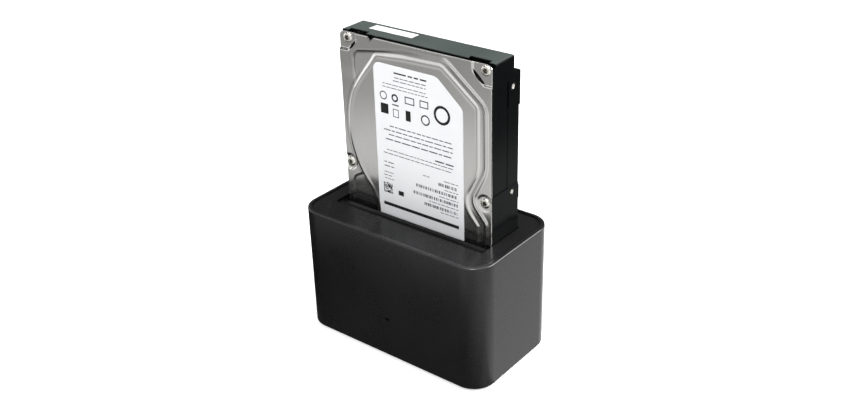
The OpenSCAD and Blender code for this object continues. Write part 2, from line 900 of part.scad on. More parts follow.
module usb_port_insert() {
    fit = 0.05;
    w = usb_w - 2 * usb_skin - 2 * fit;
    h = usb_h - 2 * usb_skin - 2 * fit;
    l = usb_l - usb_skin - fit;
    root_y = port_y - usb_mouth_l;
    color("#2447a8")
        translate([usb_x, 0, board_z0 - usb_h / 2]) {
            difference() {
                translate([-w / 2, port_y - l, -h / 2]) cube([w, l, h]);
                upright(root_y, usb_mouth_l + 1) usb_mouth();
            }
            upright(root_y - eps, usb_mouth_l - usb_tongue_in + eps) usb_tongues();
        }
}

module dc_jack_body() {
    nose_y1 = back_y - nose_gap;
    color("#171718")
        translate([jack_x, 0, jack_z]) difference() {
            union() {
                translate([-jack_w / 2, port_y - jack_l, -jack_h / 2]) cube([jack_w, jack_l, jack_h]);
                along_y(port_y - 1, nose_y1 - port_y + 1, jack_nose_r);
            }
            along_y(nose_y1 - jack_bore_l, jack_bore_l + 1, jack_bore_r);
        }
}

module dc_jack_pin() {
    color("silver")
        translate([jack_x, 0, jack_z]) along_y(back_y - nose_gap - jack_bore_l, jack_pin_l, jack_pin_r);
}

module power_switch_body() {
    color("#1c1c1d")
        translate([button_x, 0, switch_z]) difference() {
            translate([-switch_w / 2, switch_y1 - switch_l, -switch_w / 2])
                cube([switch_w, switch_l, switch_w / 2 + board_z0 - switch_z]);
            along_y(switch_y1 - switch_l + 1, switch_l, stem_r + stem_gap);
        }
}

module power_button() {
    face_y = back_y - button_sunk;
    dish_r = 14;
    dish = 0.4;
    color("#3a3b3e")
        translate([button_x, 0, switch_z]) difference() {
            union() {
                along_y(flange_y1 - button_flange_t, face_y - flange_y1 + button_flange_t, button_r);
                along_y(flange_y1 - button_flange_t, button_flange_t, button_r + button_flange);
                along_y(switch_y1 - stem_in, flange_y1 - switch_y1 + stem_in - eps, stem_r);
            }
            translate([0, face_y + dish_r - dish, 0]) sphere(dish_r, $fn = 96);
        }
}

// The drive, drawn from its own left side, label face and connector end

module at_drive() {
    translate([drive_x, drive_y, drive_z]) children();
}

module drive_casting() {
    color("#15181a")
        at_drive() difference() {
            casting_block();
            casting_ends();
            for (side = [0, 1])
                translate([side * drive_w, 0, 0]) mirror([side, 0, 0]) casting_side();
            translate([motor_x, 0, disk_z]) along_y(cover_y1 - 1, cavity_depth + 1, cavity_r);
            casting_back();
            plug_room();
            for (s = cover_screws)
                translate([s.x, 0, s.y]) along_y(cover_y1 - 1, drive_screw_l + 2, drive_screw_r + 0.05);
        }
}

// Block with raised pads behind the side screws
module casting_block() {
    pad_l = [18.9, 7.7];
    pad_drop = [28.5, 82.8];
    foot_pad = 6;
    upright(cover_y1, casting_y1 - cover_y1)
        translate([drive_w / 2, casting_l / 2]) rounded_rect(drive_w, casting_l, casting_r);
    for (i = [0, 1])
        translate([0, casting_y1 - eps, drive_l - pad_drop[i]]) cube([drive_w, back_pad + eps, pad_l[i]]);
    translate([0, casting_y1 - eps, casting_r]) cube([drive_w, back_pad + eps, foot_pad]);
}

// Far end: the step at the back, the dark gap behind the cover and two corner pockets
module casting_ends() {
    gap_y1 = 4;
    gap_h = 2.2;
    pocket_y1 = 7;
    pocket_h = 3.2;
    pocket_w = 13.4;
    pocket_x = [4, drive_w - 17.2];
    translate([-1, drive_t - top_step_t, drive_l - top_step_h])
        cube([drive_w + 2, top_step_t + 1, top_step_h + 1]);
    translate([-1, cover_y1 - 1, drive_l - gap_h]) cube([drive_w + 2, gap_y1 - cover_y1 + 1, gap_h + 1]);
    for (x = pocket_x)
        translate([x, cover_y1 - 1, drive_l - pocket_h])
            cube([pocket_w, pocket_y1 - cover_y1 + 1, pocket_h + 1]);
}

// Panels sunk into one side, and its screw holes
module casting_side() {
    seam_y = 15.4;
    panel_z0 = drive_l - 73.5;
    panel_z1 = drive_l - 28;
    upper_z1 = drive_l - 13;
    lip = 0.6;
    translate([-1, cover_y1 - 1, panel_z0]) cube([1.5, seam_y - cover_y1 + 1, panel_z1 - panel_z0 - lip]);
    translate([-1, seam_y, panel_z0]) cube([1.3, drive_t, panel_z1 - panel_z0 - lip]);
    translate([-1, cover_y1 - 1, panel_z1]) cube([1.5, seam_y - cover_y1 + 1, upper_z1 - panel_z1]);
    for (z = side_holes)
        translate([0, drive_t - side_hole_back, z]) along_x(-1, side_hole_l + 1, side_hole_r);
}

// Board side: the board's recess, the motor's seat, a ribbed web round it and the base holes
module casting_back() {
    web_depth = 1.2;
    web_r0 = motor_r + 4;
    web_r1 = 42;
    rib_w = 3;
    web_z0 = pcb_z1 + pcb_gap + 4;
    translate([pcb_margin - pcb_gap, casting_y1 - pcb_depth, pcb_z0 - pcb_gap]) difference() {
        cube([drive_w - 2 * pcb_margin + 2 * pcb_gap, pcb_depth + 1, pcb_z1 - pcb_z0 + 2 * pcb_gap]);
        for (s = pcb_screws)
            translate([s.x - pcb_margin + pcb_gap, 0, s.y - pcb_z0 + pcb_gap])
                along_y(-eps, pcb_lift + eps, boss_r);
    }
    for (s = pcb_screws)
        translate([s.x, 0, s.y])
            along_y(casting_y1 - pcb_depth - drive_screw_l, drive_screw_l + pcb_lift, drive_screw_r + 0.05);
    translate([motor_x, 0, disk_z]) {
        along_y(casting_y1 - motor_depth, motor_depth + 1, motor_r + motor_gap);
        intersection() {
            difference() {
                along_y(casting_y1 - web_depth, web_depth + 1, web_r1);
                along_y(casting_y1 - web_depth - 1, web_depth + 3, web_r0);
                for (a = [0:30:150])
                    rotate([0, a, 0]) translate([-web_r1, casting_y1 - web_depth - 1, -rib_w / 2])
                        cube([2 * web_r1, web_depth + 3, rib_w]);
            }
            translate([-web_r1, 0, web_z0 - disk_z]) cube([2 * web_r1, drive_t + 1, 2 * web_r1]);
        }
    }
    for (x = [base_hole_inset, drive_w - base_hole_inset], z = base_holes)
        translate([x, 0, z]) along_y(drive_t - side_hole_l, side_hole_l + 1, side_hole_r);
}

// Connector on the drive: a shroud round the two tongues
module plug_room() {
    translate([drive_w - plug_inset, drive_t - tongue_back, 0])
        translate([-plug_w / 2 - plug_fit, plug_y0 - plug_fit, -1])
            cube([plug_w + 2 * plug_fit, drive_t, plug_h + 1]);
}

module drive_sata_plug() {
    color("#101011")
        at_drive() translate([drive_w - plug_inset, drive_t - tongue_back, 0]) {
            difference() {
                translate([-plug_w / 2, plug_y0, plug_sunk])
                    cube([plug_w, plug_y1 - plug_y0, plug_h - plug_sunk]);
                translate([-socket_w / 2 - socket_fit, socket_y0 - socket_fit, -1])
                    cube([socket_w + 2 * socket_fit, socket_d + 2 * socket_fit, plug_mouth + 1]);
            }
            translate([0, 0, plug_mouth - tongue_l]) linear_extrude(tongue_l + eps) tongue_outline(0, 0);
        }
}

module drive_plug_contacts() {
    contact_l = 4.6;
    pad_t = 0.1;
    color("gold")
        at_drive() translate([drive_w - plug_inset, drive_t - tongue_back, 0])
            translate([0, tongue_t / 2, plug_mouth - contact_l]) scale([1, pad_t / contact_t, 1])
                contact_rows(0, 0, contact_l);
}

// Raised face of the cover: the disk's round, the label's ground and a contour that dodges the right screw
module cover_face(inset) {
    intersection() {
        union() {
            translate([disk_x, disk_z]) circle(disk_r - inset);
            translate([ground_x + inset, ground_z + inset])
                square([drive_w - ground_x, disk_z - ground_z - disk_r / 2]);
        }
        polygon(cover_contour(-inset, 0));
    }
}

// Contour stamped into the cover, widened by a channel at the right and carried to the left
function cover_contour(channel, left) =
    let (right = drive_w - contour_side + channel, top = drive_l - contour_far + channel)
    let (dodge = drive_w - contour_dodge + channel * 1.1, low = contour_near - channel)
    let (bend_z = cover_screws[3].y)
    round_outline([
        [left, low, 4],
        [right - contour_step, low, 4],
        [right - contour_step, bend_z + dodge_bends[0], 6],
        [dodge, bend_z + dodge_bends[1], 7],
        [dodge, bend_z + dodge_bends[2], 7],
        [right, bend_z + dodge_bends[3], 8],
        [right, top - chamfer_h, 5],
        [drive_w - contour_side - chamfer_w, top, 5],
        [left, top, 3]
    ]);

module cover_channel() {
    far_slope = 1.3;
    difference() {
        union() {
            intersection() {
                polygon(cover_contour(channel_w, 1));
                polygon(round_outline([
                    [pocket_x0, low_top - 20, 1],
                    [drive_w, low_top - 20, 1],
                    [drive_w, drive_l, 1],
                    [drive_w / 2, drive_l - pocket_far + far_slope, 1],
                    [pocket_x0, drive_l - pocket_far - pocket_cut, 5]
                ]));
            }
            intersection() {
                polygon(cover_contour(channel_w, low_x0));
                translate([low_x0, 0]) polygon(round_outline([
                    [0, 0, 1],
                    [drive_w, 0, 1],
                    [drive_w, low_top, 1],
                    [0, low_top, 5]
                ]));
            }
        }
        cover_face(0);
    }
}

// Ground of the bead outside the channel, along the right half
module outer_bead() {
    intersection() {
        polygon(cover_contour(channel_w + bead_w, 1));
        translate([drive_w / 2, 0]) square([drive_w / 2, drive_l]);
    }
}

module cover_outline() {
    edge_r = 3;
    foot = 1;
    polygon(round_outline([
        [cover_margin, foot, edge_r],
        [drive_w - cover_margin, foot, edge_r],
        [drive_w - cover_margin, cover_l, edge_r],
        [cover_margin, cover_l, edge_r]
    ]));
}

// Slits beside the two far screws and the notch in the far edge
module cover_cuts() {
    slit = [9.2, 1.8];
    notch_x = 22.5;
    notch_w = 5;
    notch_h = 2.6;
    translate([9.7, drive_l - 7.3]) rotate(46) obround(slit.x * 0.75, slit.y);
    translate([drive_w - 8.1, drive_l - 8]) rotate(-43) obround(slit.x, slit.y);
    polygon([
        [notch_x - notch_w / 2, cover_l + 1],
        [notch_x - notch_w / 2, cover_l],
        [notch_x, cover_l - notch_h],
        [notch_x + notch_w / 2, cover_l],
        [notch_x + notch_w / 2, cover_l + 1]
    ]);
}

module drive_cover() {
    color("#b5b5b2")
        at_drive() difference() {
            union() {
                upright(border_y, cover_t) cover_outline();
                upright(0, border_y + eps) cover_face(0);
                upright(border_y - bead_h, bead_h + eps) outer_bead();
            }
            upright(-1, 1 + face_y) cover_face(bead_w);
            upright(border_y - 1, channel_depth + 1) cover_channel();
            upright(-1, drive_t) cover_cuts();
            for (s = cover_screws)
                translate([s.x, 0, s.y]) {
                    along_y(-1, drive_t, drive_screw_r + drive_screw_gap);
                    along_y(-1, 1 + drive_seat_y, drive_screw_head_r + drive_head_gap);
                }
        }
}

module drive_cover_screws() {
    head_y0 = drive_seat_y - drive_screw_head_h;
    color("#c9c9c6")
        at_drive() for (s = cover_screws)
            translate([s.x, 0, s.y]) difference() {
                union() {
                    along_y(head_y0, drive_screw_head_h, drive_screw_head_r);
                    along_y(drive_seat_y - eps, drive_screw_l, drive_screw_r);
                }
                translate([0, head_y0 - eps, 0]) rotate([-90, 0, 0])
                    cylinder(h = drive_bit_l, r = drive_bit_r, $fn = 6);
            }
}

// Label: round at the upper left, cut off along the contour at the upper right
module drive_label() {
    x1 = drive_w - label_right;
    z1 = drive_l - label_far;
    color("#f2f2f0")
        at_drive() upright(face_y - label_t, label_t) polygon(round_outline([
            [label_x0, label_z0, 3],
            [x1, label_z0, 3],
            [x1, z1 - label_cut.y, 5],
            [x1 - label_cut.x, z1, 7],
            [label_x0, z1, 4.5]
        ]));
}

module drive_end_label() {
    color("#f4f4f2")
        at_drive() translate([strip_x, strip_y, casting_l]) cube([strip_l, strip_w, label_t]);
}

module drive_board() {
    color("#174a2f")
        at_drive() difference() {
            translate([pcb_margin, casting_y1 - pcb_depth + pcb_lift, pcb_z0])
                cube([drive_w - 2 * pcb_margin, pcb_t, pcb_z1 - pcb_z0]);
            for (s = pcb_screws)
                translate([s.x, 0, s.y]) along_y(0, drive_t, drive_screw_r + 0.3);
        }
}

module drive_board_screws() {
    head_h = 0.5;
    seat_y = casting_y1 - pcb_depth + pcb_lift + pcb_t;
    color("silver")
        at_drive() for (s = pcb_screws)
            translate([s.x, seat_y, s.y]) rotate([90, 0, 0])
                screw(drive_screw_l, drive_screw_r, 2.2, head_h);
}

module drive_motor_plate() {
    top = casting_y1 - motor_sunk;
    color("#9a9a98")
        at_drive() translate([motor_x, 0, disk_z]) difference() {
            along_y(casting_y1 - motor_depth, motor_depth - motor_sunk, motor_r);
            difference() {
                along_y(top - groove_depth, groove_depth + 1, groove_r);
                along_y(top - groove_depth - 1, groove_depth + 3, groove_r - groove_w);
            }
        }
}

outer_shell();
top_plate();
drive_cradle();
base_plate();
rubber_feet();
base_screws();
top_screws();
cradle_screws();
board_screws();
flap_door();
flap_pins();
flap_spring();
main_board();
sata_socket();
sata_contacts();
bridge_chip();
flash_chip();
crystal_can();
filter_capacitors();
power_inductor();
status_led();
light_pipe();
usb_port_shell();
usb_port_insert();
dc_jack_body();
dc_jack_pin();
power_switch_body();
power_button();
drive_casting();
drive_cover();
drive_cover_screws();
drive_label();
drive_end_label();
drive_board();
drive_board_screws();
drive_motor_plate();
drive_sata_plug();
drive_plug_contacts();
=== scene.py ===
import math
import random

import bmesh
import bpy
import numpy as np
from mathutils import Euler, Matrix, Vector


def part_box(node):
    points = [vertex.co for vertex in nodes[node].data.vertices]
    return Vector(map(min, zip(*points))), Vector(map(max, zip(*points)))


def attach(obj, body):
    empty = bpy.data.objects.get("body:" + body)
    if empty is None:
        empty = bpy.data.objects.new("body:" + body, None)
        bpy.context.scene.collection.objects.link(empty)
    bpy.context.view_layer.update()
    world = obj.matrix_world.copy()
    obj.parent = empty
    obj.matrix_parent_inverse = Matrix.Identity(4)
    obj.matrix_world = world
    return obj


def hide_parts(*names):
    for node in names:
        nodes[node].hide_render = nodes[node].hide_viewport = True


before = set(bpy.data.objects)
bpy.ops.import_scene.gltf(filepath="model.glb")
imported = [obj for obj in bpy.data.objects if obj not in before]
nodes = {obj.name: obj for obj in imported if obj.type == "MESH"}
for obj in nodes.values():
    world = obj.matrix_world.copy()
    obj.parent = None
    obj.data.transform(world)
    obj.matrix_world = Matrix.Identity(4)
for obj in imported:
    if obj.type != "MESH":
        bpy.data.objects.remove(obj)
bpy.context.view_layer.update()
mm = 0.001
mixA, mixB, mixOut = 6, 7, 2  # a Mix node's sockets for colours


def hexColour(code):  # sRGB hex to linear
    parts = [int(code[i:i + 2], 16) / 255 for i in (1, 3, 5)]
    return [c / 12.92 if c <= 0.04045 else ((c + 0.055) / 1.055) ** 2.4 for c in parts] + [1.0]


def addNode(tree, kind, inputs=None, **settings):  # one node with its settings, values and links
    node = tree.nodes.new("ShaderNode" + kind)
    for name, value in settings.items():
        setattr(node, name, value)
    for socket, value in (inputs or {}).items():
        if isinstance(value, bpy.types.NodeSocket):
            tree.links.new(value, node.inputs[socket])
        else:
            node.inputs[socket].default_value = value
    return node


def newMaterial(name, **values):  # values are Principled sockets, with _ for a space
    material = bpy.data.materials.new(name)
    material.use_nodes = True
    tree = material.node_tree
    shader = tree.nodes["Principled BSDF"]
    for socket, value in values.items():
        shader.inputs[socket.replace("_", " ")].default_value = value
    place = addNode(tree, "TexCoord").outputs["Object"]
    return material, tree, shader, place


def perMm(size):  # texture scale for a feature of this size in millimetres
    return 1 / (size * mm)


def grained(name, light, dark, grainMm, rough, bump, **values):  # colour, gloss and bump from one grain
    material, tree, shader, place = newMaterial(name, **values)
    driftMm = grainMm * 60  # slow change of tone over a whole face
    reliefMm = grainMm * 0.25
    grain = addNode(tree, "TexNoise", {"Vector": place, "Scale": perMm(grainMm),
                                       "Detail": 3.0, "Roughness": 0.6}).outputs["Fac"]
    drift = addNode(tree, "TexNoise", {"Vector": place, "Scale": perMm(driftMm),
                                       "Detail": 2.0}).outputs["Fac"]
    both = addNode(tree, "Math", {0: grain, 1: drift}, operation="ADD").outputs[0]
    tone = addNode(tree, "MapRange", {"Value": both, "From Min": 0.7, "From Max": 1.3}).outputs[0]
    colour = addNode(tree, "Mix", {0: tone, mixA: hexColour(dark), mixB: hexColour(light)},
                     data_type="RGBA")
    gloss = addNode(tree, "MapRange", {"Value": both, "From Min": 0.6, "From Max": 1.4,
                                       "To Min": rough[0], "To Max": rough[1]})
    relief = addNode(tree, "Bump", {"Height": grain, "Strength": bump, "Distance": reliefMm * mm})
    tree.links.new(colour.outputs[mixOut], shader.inputs["Base Color"])
    tree.links.new(gloss.outputs[0], shader.inputs["Roughness"])
    tree.links.new(relief.outputs["Normal"], shader.inputs["Normal"])
    return material


# Each takes its light and dark colours, the grain in mm, the range of roughness and the strength of the bump
# Spark-eroded ABS moulding: dull charcoal with a fine even grain
# The real grit is near 0.1 mm, too fine to show, so it is drawn at 0.45 mm
sparkAbs = grained("sparkErodedAbs", "#101011", "#0e0e0f", 0.45, (0.25, 0.32), 0.12,
                   IOR=1.46, Specular_IOR_Level=0.6)
# Satin ABS moulding: smoother, with soft reflections of what stands on it
satinAbs = grained("satinAbs", "#1a1a1b", "#161617", 0.6, (0.22, 0.3), 0.04,
                   IOR=1.46, Specular_IOR_Level=0.2)
# Flap moulding: the same satin, duller, with a darker base colour as painted shade
shadedFlapAbs = grained("satinAbsFlap", "#0c0c0d", "#09090a", 0.6, (0.34, 0.42), 0.05,
                  IOR=1.46, Specular_IOR_Level=0.05)
# Hidden ABS mouldings: plain black, as they leave the tool
plainAbs = grained("plainMouldedAbs", "#222223", "#1c1c1d", 0.8, (0.42, 0.52), 0.08, IOR=1.46)
# Glass-filled nylon: connectors and switch bodies, dull with a faint mottle
filledNylon = grained("glassFilledNylon", "#1d1d1e", "#171718", 0.5, (0.45, 0.6), 0.15, IOR=1.52)
# Moulded rubber: soft, no sharp reflections
mouldedRubber = grained("mouldedRubber", "#1c1c1c", "#161616", 0.7, (0.7, 0.8), 0.2,
                        IOR=1.5, Specular_IOR_Level=0.3)
# Epoxy moulding compound: chip bodies, dull and even
chipEpoxy = grained("mouldedEpoxy", "#232324", "#1d1d1e", 0.3, (0.5, 0.62), 0.15, IOR=1.55)
# Shrunk PVC sleeve: glossy dark blue
sleevePvc = grained("shrunkPvcSleeve", "#26324f", "#212c46", 1.5, (0.2, 0.3), 0.03, IOR=1.53)
# Smoked polycarbonate: dark and glossy
smokedPipe = grained("smokedPolycarbonate", "#060607", "#040405", 1.0, (0.1, 0.16), 0.01,
                     IOR=1.58, Specular_IOR_Level=0.1)
# Blue moulded thermoplastic of the data port: satin
blueInsert = grained("mouldedBluePbt", "#2447a0", "#1f3f92", 0.6, (0.35, 0.45), 0.05, IOR=1.5)
# Milky epoxy of the lamp: pale and glossy
milkyEpoxy = grained("milkyLampEpoxy", "#e4e4df", "#dadad4", 0.6, (0.2, 0.3), 0.03, IOR=1.52)
# Nickel-plated steel: bright, slightly warm
nickelSteel = grained("nickelPlatedSteel", "#d8d5cf", "#c8c5bf", 0.5, (0.16, 0.26), 0.04, Metallic=1.0)
# Zinc-plated screws: bright with a faint yellowish passivation
zincSteel = grained("zincPlatedSteel", "#e3e1da", "#cfccc4", 0.5, (0.1, 0.17), 0.03, Metallic=1.0)
# Drawn spring wire: duller, with draw marks
drawnWire = grained("drawnSpringWire", "#b6b5b2", "#a3a29f", 0.4, (0.3, 0.42), 0.1, Metallic=1.0)
# Gold flash on contacts: warm yellow, smooth
goldFlash = grained("goldFlashedContacts", "#d9b25c", "#cba34e", 0.4, (0.2, 0.3), 0.03, Metallic=1.0)
# Matt coated label stock: white paper with a faint fibre
labelStock = grained("coatedLabelPaper", "#e5e6e8", "#e0e1e3", 0.6, (0.42, 0.55), 0.05,
                     IOR=1.45, Specular_IOR_Level=0.3)
# Printing ink on the label: dull black
inkBlack = grained("printedInk", "#1a1a1b", "#141415", 0.5, (0.5, 0.6), 0.02, Specular_IOR_Level=0.2)


def darkenByPaintedShade(tree, shader, tone, code):  # painted shade: base colour darkened where the mesh's attribute is high
    paintedShading = addNode(tree, "Attribute", attribute_name="paintedShade").outputs["Fac"]
    dark = addNode(tree, "Mix", {0: paintedShading, mixA: tone, mixB: hexColour(code)}, data_type="RGBA")
    tree.links.new(dark.outputs[mixOut], shader.inputs["Base Color"])


# Painted shade: the screws' base colour is darkened deep in their recesses
zincShader = zincSteel.node_tree.nodes["Principled BSDF"]
zincTone = zincShader.inputs["Base Color"].links[0].from_socket
darkenByPaintedShade(zincSteel.node_tree, zincShader, zincTone, "#62625a")


def pressedCover():
    # Rolled and pressed stainless sheet: satin, with faint rolling lines along its length
    # and painted shade: dark lines beside the press steps and a darker border
    material, tree, shader, place = newMaterial("pressedStainlessSheet", Metallic=1.0)
    lineMm, driftMm, reliefMm = 0.4, 26, 0.01
    drawnOut = (1.0, 1.0, 0.04)  # the lines run up the sheet
    along = addNode(tree, "Mapping", {"Vector": place, "Scale": drawnOut}).outputs[0]
    lines = addNode(tree, "TexNoise", {"Vector": along, "Scale": perMm(lineMm),
                                       "Detail": 4.0}).outputs["Fac"]
    drift = addNode(tree, "TexNoise", {"Vector": place, "Scale": perMm(driftMm),
                                       "Detail": 2.0}).outputs["Fac"]
    tone = addNode(tree, "Mix", {0: drift, mixA: hexColour("#d6d5d2"), mixB: hexColour("#e0dfdc")},
                   data_type="RGBA")
    gloss = addNode(tree, "MapRange", {"Value": lines, "From Min": 0.3, "From Max": 0.7,
                                       "To Min": 0.17, "To Max": 0.22})
    relief = addNode(tree, "Bump", {"Height": lines, "Strength": 0.05, "Distance": reliefMm * mm})
    # painted shade: the press lines and border take the darker colour
    darkenByPaintedShade(tree, shader, tone.outputs[mixOut], "#39393a")
    tree.links.new(gloss.outputs[0], shader.inputs["Roughness"])
    tree.links.new(relief.outputs["Normal"], shader.inputs["Normal"])
    return material


def coatedCastingMetal(endFace):
    # Electro-coated die casting: near black with a green-blue cast and a fine orange peel
    # Painted sheen: the end face's colour is made greyer
    material, tree, shader, place = newMaterial("electroCoatedCasting", IOR=1.5, Specular_IOR_Level=0.035)
    peelMm, driftMm, reliefMm = 0.9, 40, 0.2
    sheenRampStart, sheenRampEnd = endFace - 0.5 * mm, endFace - 0.2 * mm
    peel = addNode(tree, "TexNoise", {"Vector": place, "Scale": perMm(peelMm),
                                      "Detail": 3.0}).outputs["Fac"]
    drift = addNode(tree, "TexNoise", {"Vector": place, "Scale": perMm(driftMm),
                                       "Detail": 2.0}).outputs["Fac"]
    height = addNode(tree, "SeparateXYZ", {0: place}).outputs["Z"]
    end = addNode(tree, "MapRange", {"Value": height, "From Min": sheenRampStart, "From Max": sheenRampEnd}).outputs[0]
    coat = addNode(tree, "Mix", {0: drift, mixA: hexColour("#070808"), mixB: hexColour("#0a0b0c")},
                   data_type="RGBA")
    # painted sheen: a greyer colour on the end face
    thin = addNode(tree, "Mix", {0: drift, mixA: hexColour("#3a403e"), mixB: hexColour("#515855")},
                   data_type="RGBA")
    colour = addNode(tree, "Mix", {0: end, mixA: coat.outputs[mixOut], mixB: thin.outputs[mixOut]},
                     data_type="RGBA")
    gloss = addNode(tree, "MapRange", {"Value": peel, "To Min": 0.13, "To Max": 0.2})
    relief = addNode(tree, "Bump", {"Height": peel, "Strength": 0.1, "Distance": reliefMm * mm})
    tree.links.new(colour.outputs[mixOut], shader.inputs["Base Color"])
    tree.links.new(gloss.outputs[0], shader.inputs["Roughness"])
    tree.links.new(relief.outputs["Normal"], shader.inputs["Normal"])
    return material


def solderMask():
    # Green solder mask over copper: glossy, with the runs of copper showing through
    material, tree, shader, place = newMaterial("greenSolderMask", IOR=1.55, Roughness=0.28)
    runLongMm, runHighMm, gapMm, driftMm, reliefMm = 9, 1.6, 0.35, 5, 0.05
    flat = addNode(tree, "Mapping", {"Vector": place, "Rotation": (math.radians(90), 0.0, 0.0)}).outputs[0]
    runs = addNode(tree, "TexBrick", {
        "Vector": flat, "Scale": 1.0, "Mortar Size": gapMm * mm, "Brick Width": runLongMm * mm,
        "Row Height": runHighMm * mm, "Color1": hexColour("#1f6b42"), "Color2": hexColour("#185636"),
        "Mortar": hexColour("#12462b")}).outputs
    drift = addNode(tree, "TexNoise", {"Vector": place, "Scale": perMm(driftMm),
                                       "Detail": 3.0}).outputs["Fac"]
    colour = addNode(tree, "Mix", {0: drift, mixA: runs["Color"], mixB: hexColour("#16502f")},
                     data_type="RGBA")
    relief = addNode(tree, "Bump", {"Height": runs["Fac"], "Strength": 0.3, "Distance": reliefMm * mm})
    tree.links.new(colour.outputs[mixOut], shader.inputs["Base Color"])
    tree.links.new(relief.outputs["Normal"], shader.inputs["Normal"])
    return material


def turnedAluminium(centre):
    # Lathe-turned aluminium: rings of tool marks about the motor's middle
    material, tree, shader, place = newMaterial("turnedAluminium", Metallic=1.0, Roughness=0.3)
    ringMm, reliefMm = 0.5, 0.05
    perRing = 2 * math.pi * perMm(ringMm)
    middle = addNode(tree, "VectorMath", {0: place, 1: centre}, operation="SUBTRACT").outputs[0]
    radius = addNode(tree, "VectorMath", {0: middle}, operation="LENGTH").outputs["Value"]
    turns = addNode(tree, "Math", {0: radius, 1: perRing}, operation="MULTIPLY").outputs[0]
    wave = addNode(tree, "Math", {0: turns}, operation="SINE").outputs[0]
    tone = addNode(tree, "MapRange", {"Value": wave, "From Min": -1.0, "From Max": 1.0}).outputs[0]
    colour = addNode(tree, "Mix", {0: tone, mixA: hexColour("#a9a9a7"), mixB: hexColour("#b7b7b5")},
                     data_type="RGBA")
    relief = addNode(tree, "Bump", {"Height": wave, "Strength": 0.15, "Distance": reliefMm * mm})
    tree.links.new(colour.outputs[mixOut], shader.inputs["Base Color"])
    tree.links.new(relief.outputs["Normal"], shader.inputs["Normal"])
    return material


coverSteel = pressedCover()
coatedCasting = coatedCastingMetal(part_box("drive_casting")[1][2])
greenBoard = solderMask()
motorLow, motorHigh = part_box("drive_motor_plate")
turnedMotor = turnedAluminium(tuple((a + b) / 2 for a, b in zip(motorLow, motorHigh)))

finishes = {
    "outer_shell": sparkAbs, "top_plate": satinAbs, "drive_cradle": plainAbs, "base_plate": plainAbs,
    "rubber_feet": mouldedRubber, "base_screws": nickelSteel, "top_screws": nickelSteel,
    "cradle_screws": nickelSteel, "board_screws": nickelSteel, "flap_door": shadedFlapAbs, "flap_pins": nickelSteel,
    "flap_spring": drawnWire, "main_board": greenBoard, "sata_socket": filledNylon,
    "sata_contacts": goldFlash, "bridge_chip": chipEpoxy, "flash_chip": chipEpoxy, "crystal_can": nickelSteel,
    "filter_capacitors": sleevePvc, "power_inductor": chipEpoxy, "status_led": milkyEpoxy,
    "light_pipe": smokedPipe, "usb_port_shell": nickelSteel, "usb_port_insert": blueInsert,
    "dc_jack_body": filledNylon, "dc_jack_pin": nickelSteel, "power_switch_body": filledNylon,
    "power_button": satinAbs, "drive_casting": coatedCasting, "drive_label": labelStock,
    "drive_end_label": labelStock, "drive_board": greenBoard, "drive_board_screws": nickelSteel,
    "drive_motor_plate": turnedMotor, "drive_sata_plug": filledNylon, "drive_plug_contacts": goldFlash,
}
for name, finish in finishes.items():
    nodes[name].data.materials.clear()
    nodes[name].data.materials.append(finish)
print("finishes:", len(finishes), "nodes")

# Edges of mouldings and castings are broken by a small radius, in mm
brokenEdges = {"top_plate": 0.25, "flap_door": 0.25, "drive_casting": 0.3, "base_plate": 0.2,
               "sata_socket": 0.15, "usb_port_shell": 0.15, "dc_jack_body": 0.2, "power_button": 0.2,
               "drive_sata_plug": 0.15}
for name, radius in brokenEdges.items():
    weld = nodes[name].modifiers.new("weld", "WELD")
    weld.merge_threshold = 0.002 * mm
    bevel = nodes[name].modifiers.new("brokenEdge", "BEVEL")
    bevel.width = radius * mm
    bevel.segments = 2
    bevel.limit_method = "ANGLE"
    bevel.angle_limit = math.radians(40)
    bevel.harden_normals = True
print("broken edges:", len(brokenEdges), "nodes")

# Drive-local places: x from the left side, y from the crest of the cover's beads, z from the connector end
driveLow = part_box("drive_casting")[0]
driveOrigin = Vector((driveLow[0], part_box("drive_cover")[0][1], driveLow[2]))


def onDrive(x, y, z):  # a drive-local place in mm, in the frame's metres
    return driveOrigin + Vector((x, y, z)) * mm


def addPiece(name, body, material, vertices, faces, smooth=40):  # sharp over smooth degrees
    mesh = bpy.data.meshes.new(name)
    mesh.from_pydata(vertices, [], faces)
    mesh.validate()
    mesh.materials.append(material)
    mesh.shade_smooth()
    mesh.set_sharp_from_angle(angle=math.radians(smooth))
    piece = bpy.data.objects.new(name, mesh)
    bpy.context.collection.objects.link(piece)
    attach(piece, body)
    return piece


def roundOutline(corners, steps=12):  # corners are x, z and their own radius
    points = []
    for i, (x, z, r) in enumerate(corners):
        tip = Vector((x, z))
        u = (Vector(corners[i - 1][:2]) - tip).normalized()
        v = (Vector(corners[(i + 1) % len(corners)][:2]) - tip).normalized()
        half = math.acos(max(-1.0, min(1.0, u.dot(v)))) / 2
        centre = tip + (u + v).normalized() * (r / math.sin(half))
        p = tip + u * (r / math.tan(half)) - centre
        q = tip + v * (r / math.tan(half)) - centre
        start = math.atan2(p.y, p.x)
        turn = (math.atan2(q.y, q.x) - start + 3 * math.pi) % (2 * math.pi) - math.pi
        for k in range(steps + 1):
            a = start + turn * k / steps
            points.append((centre.x + r * math.cos(a), centre.y + r * math.sin(a)))
    return points


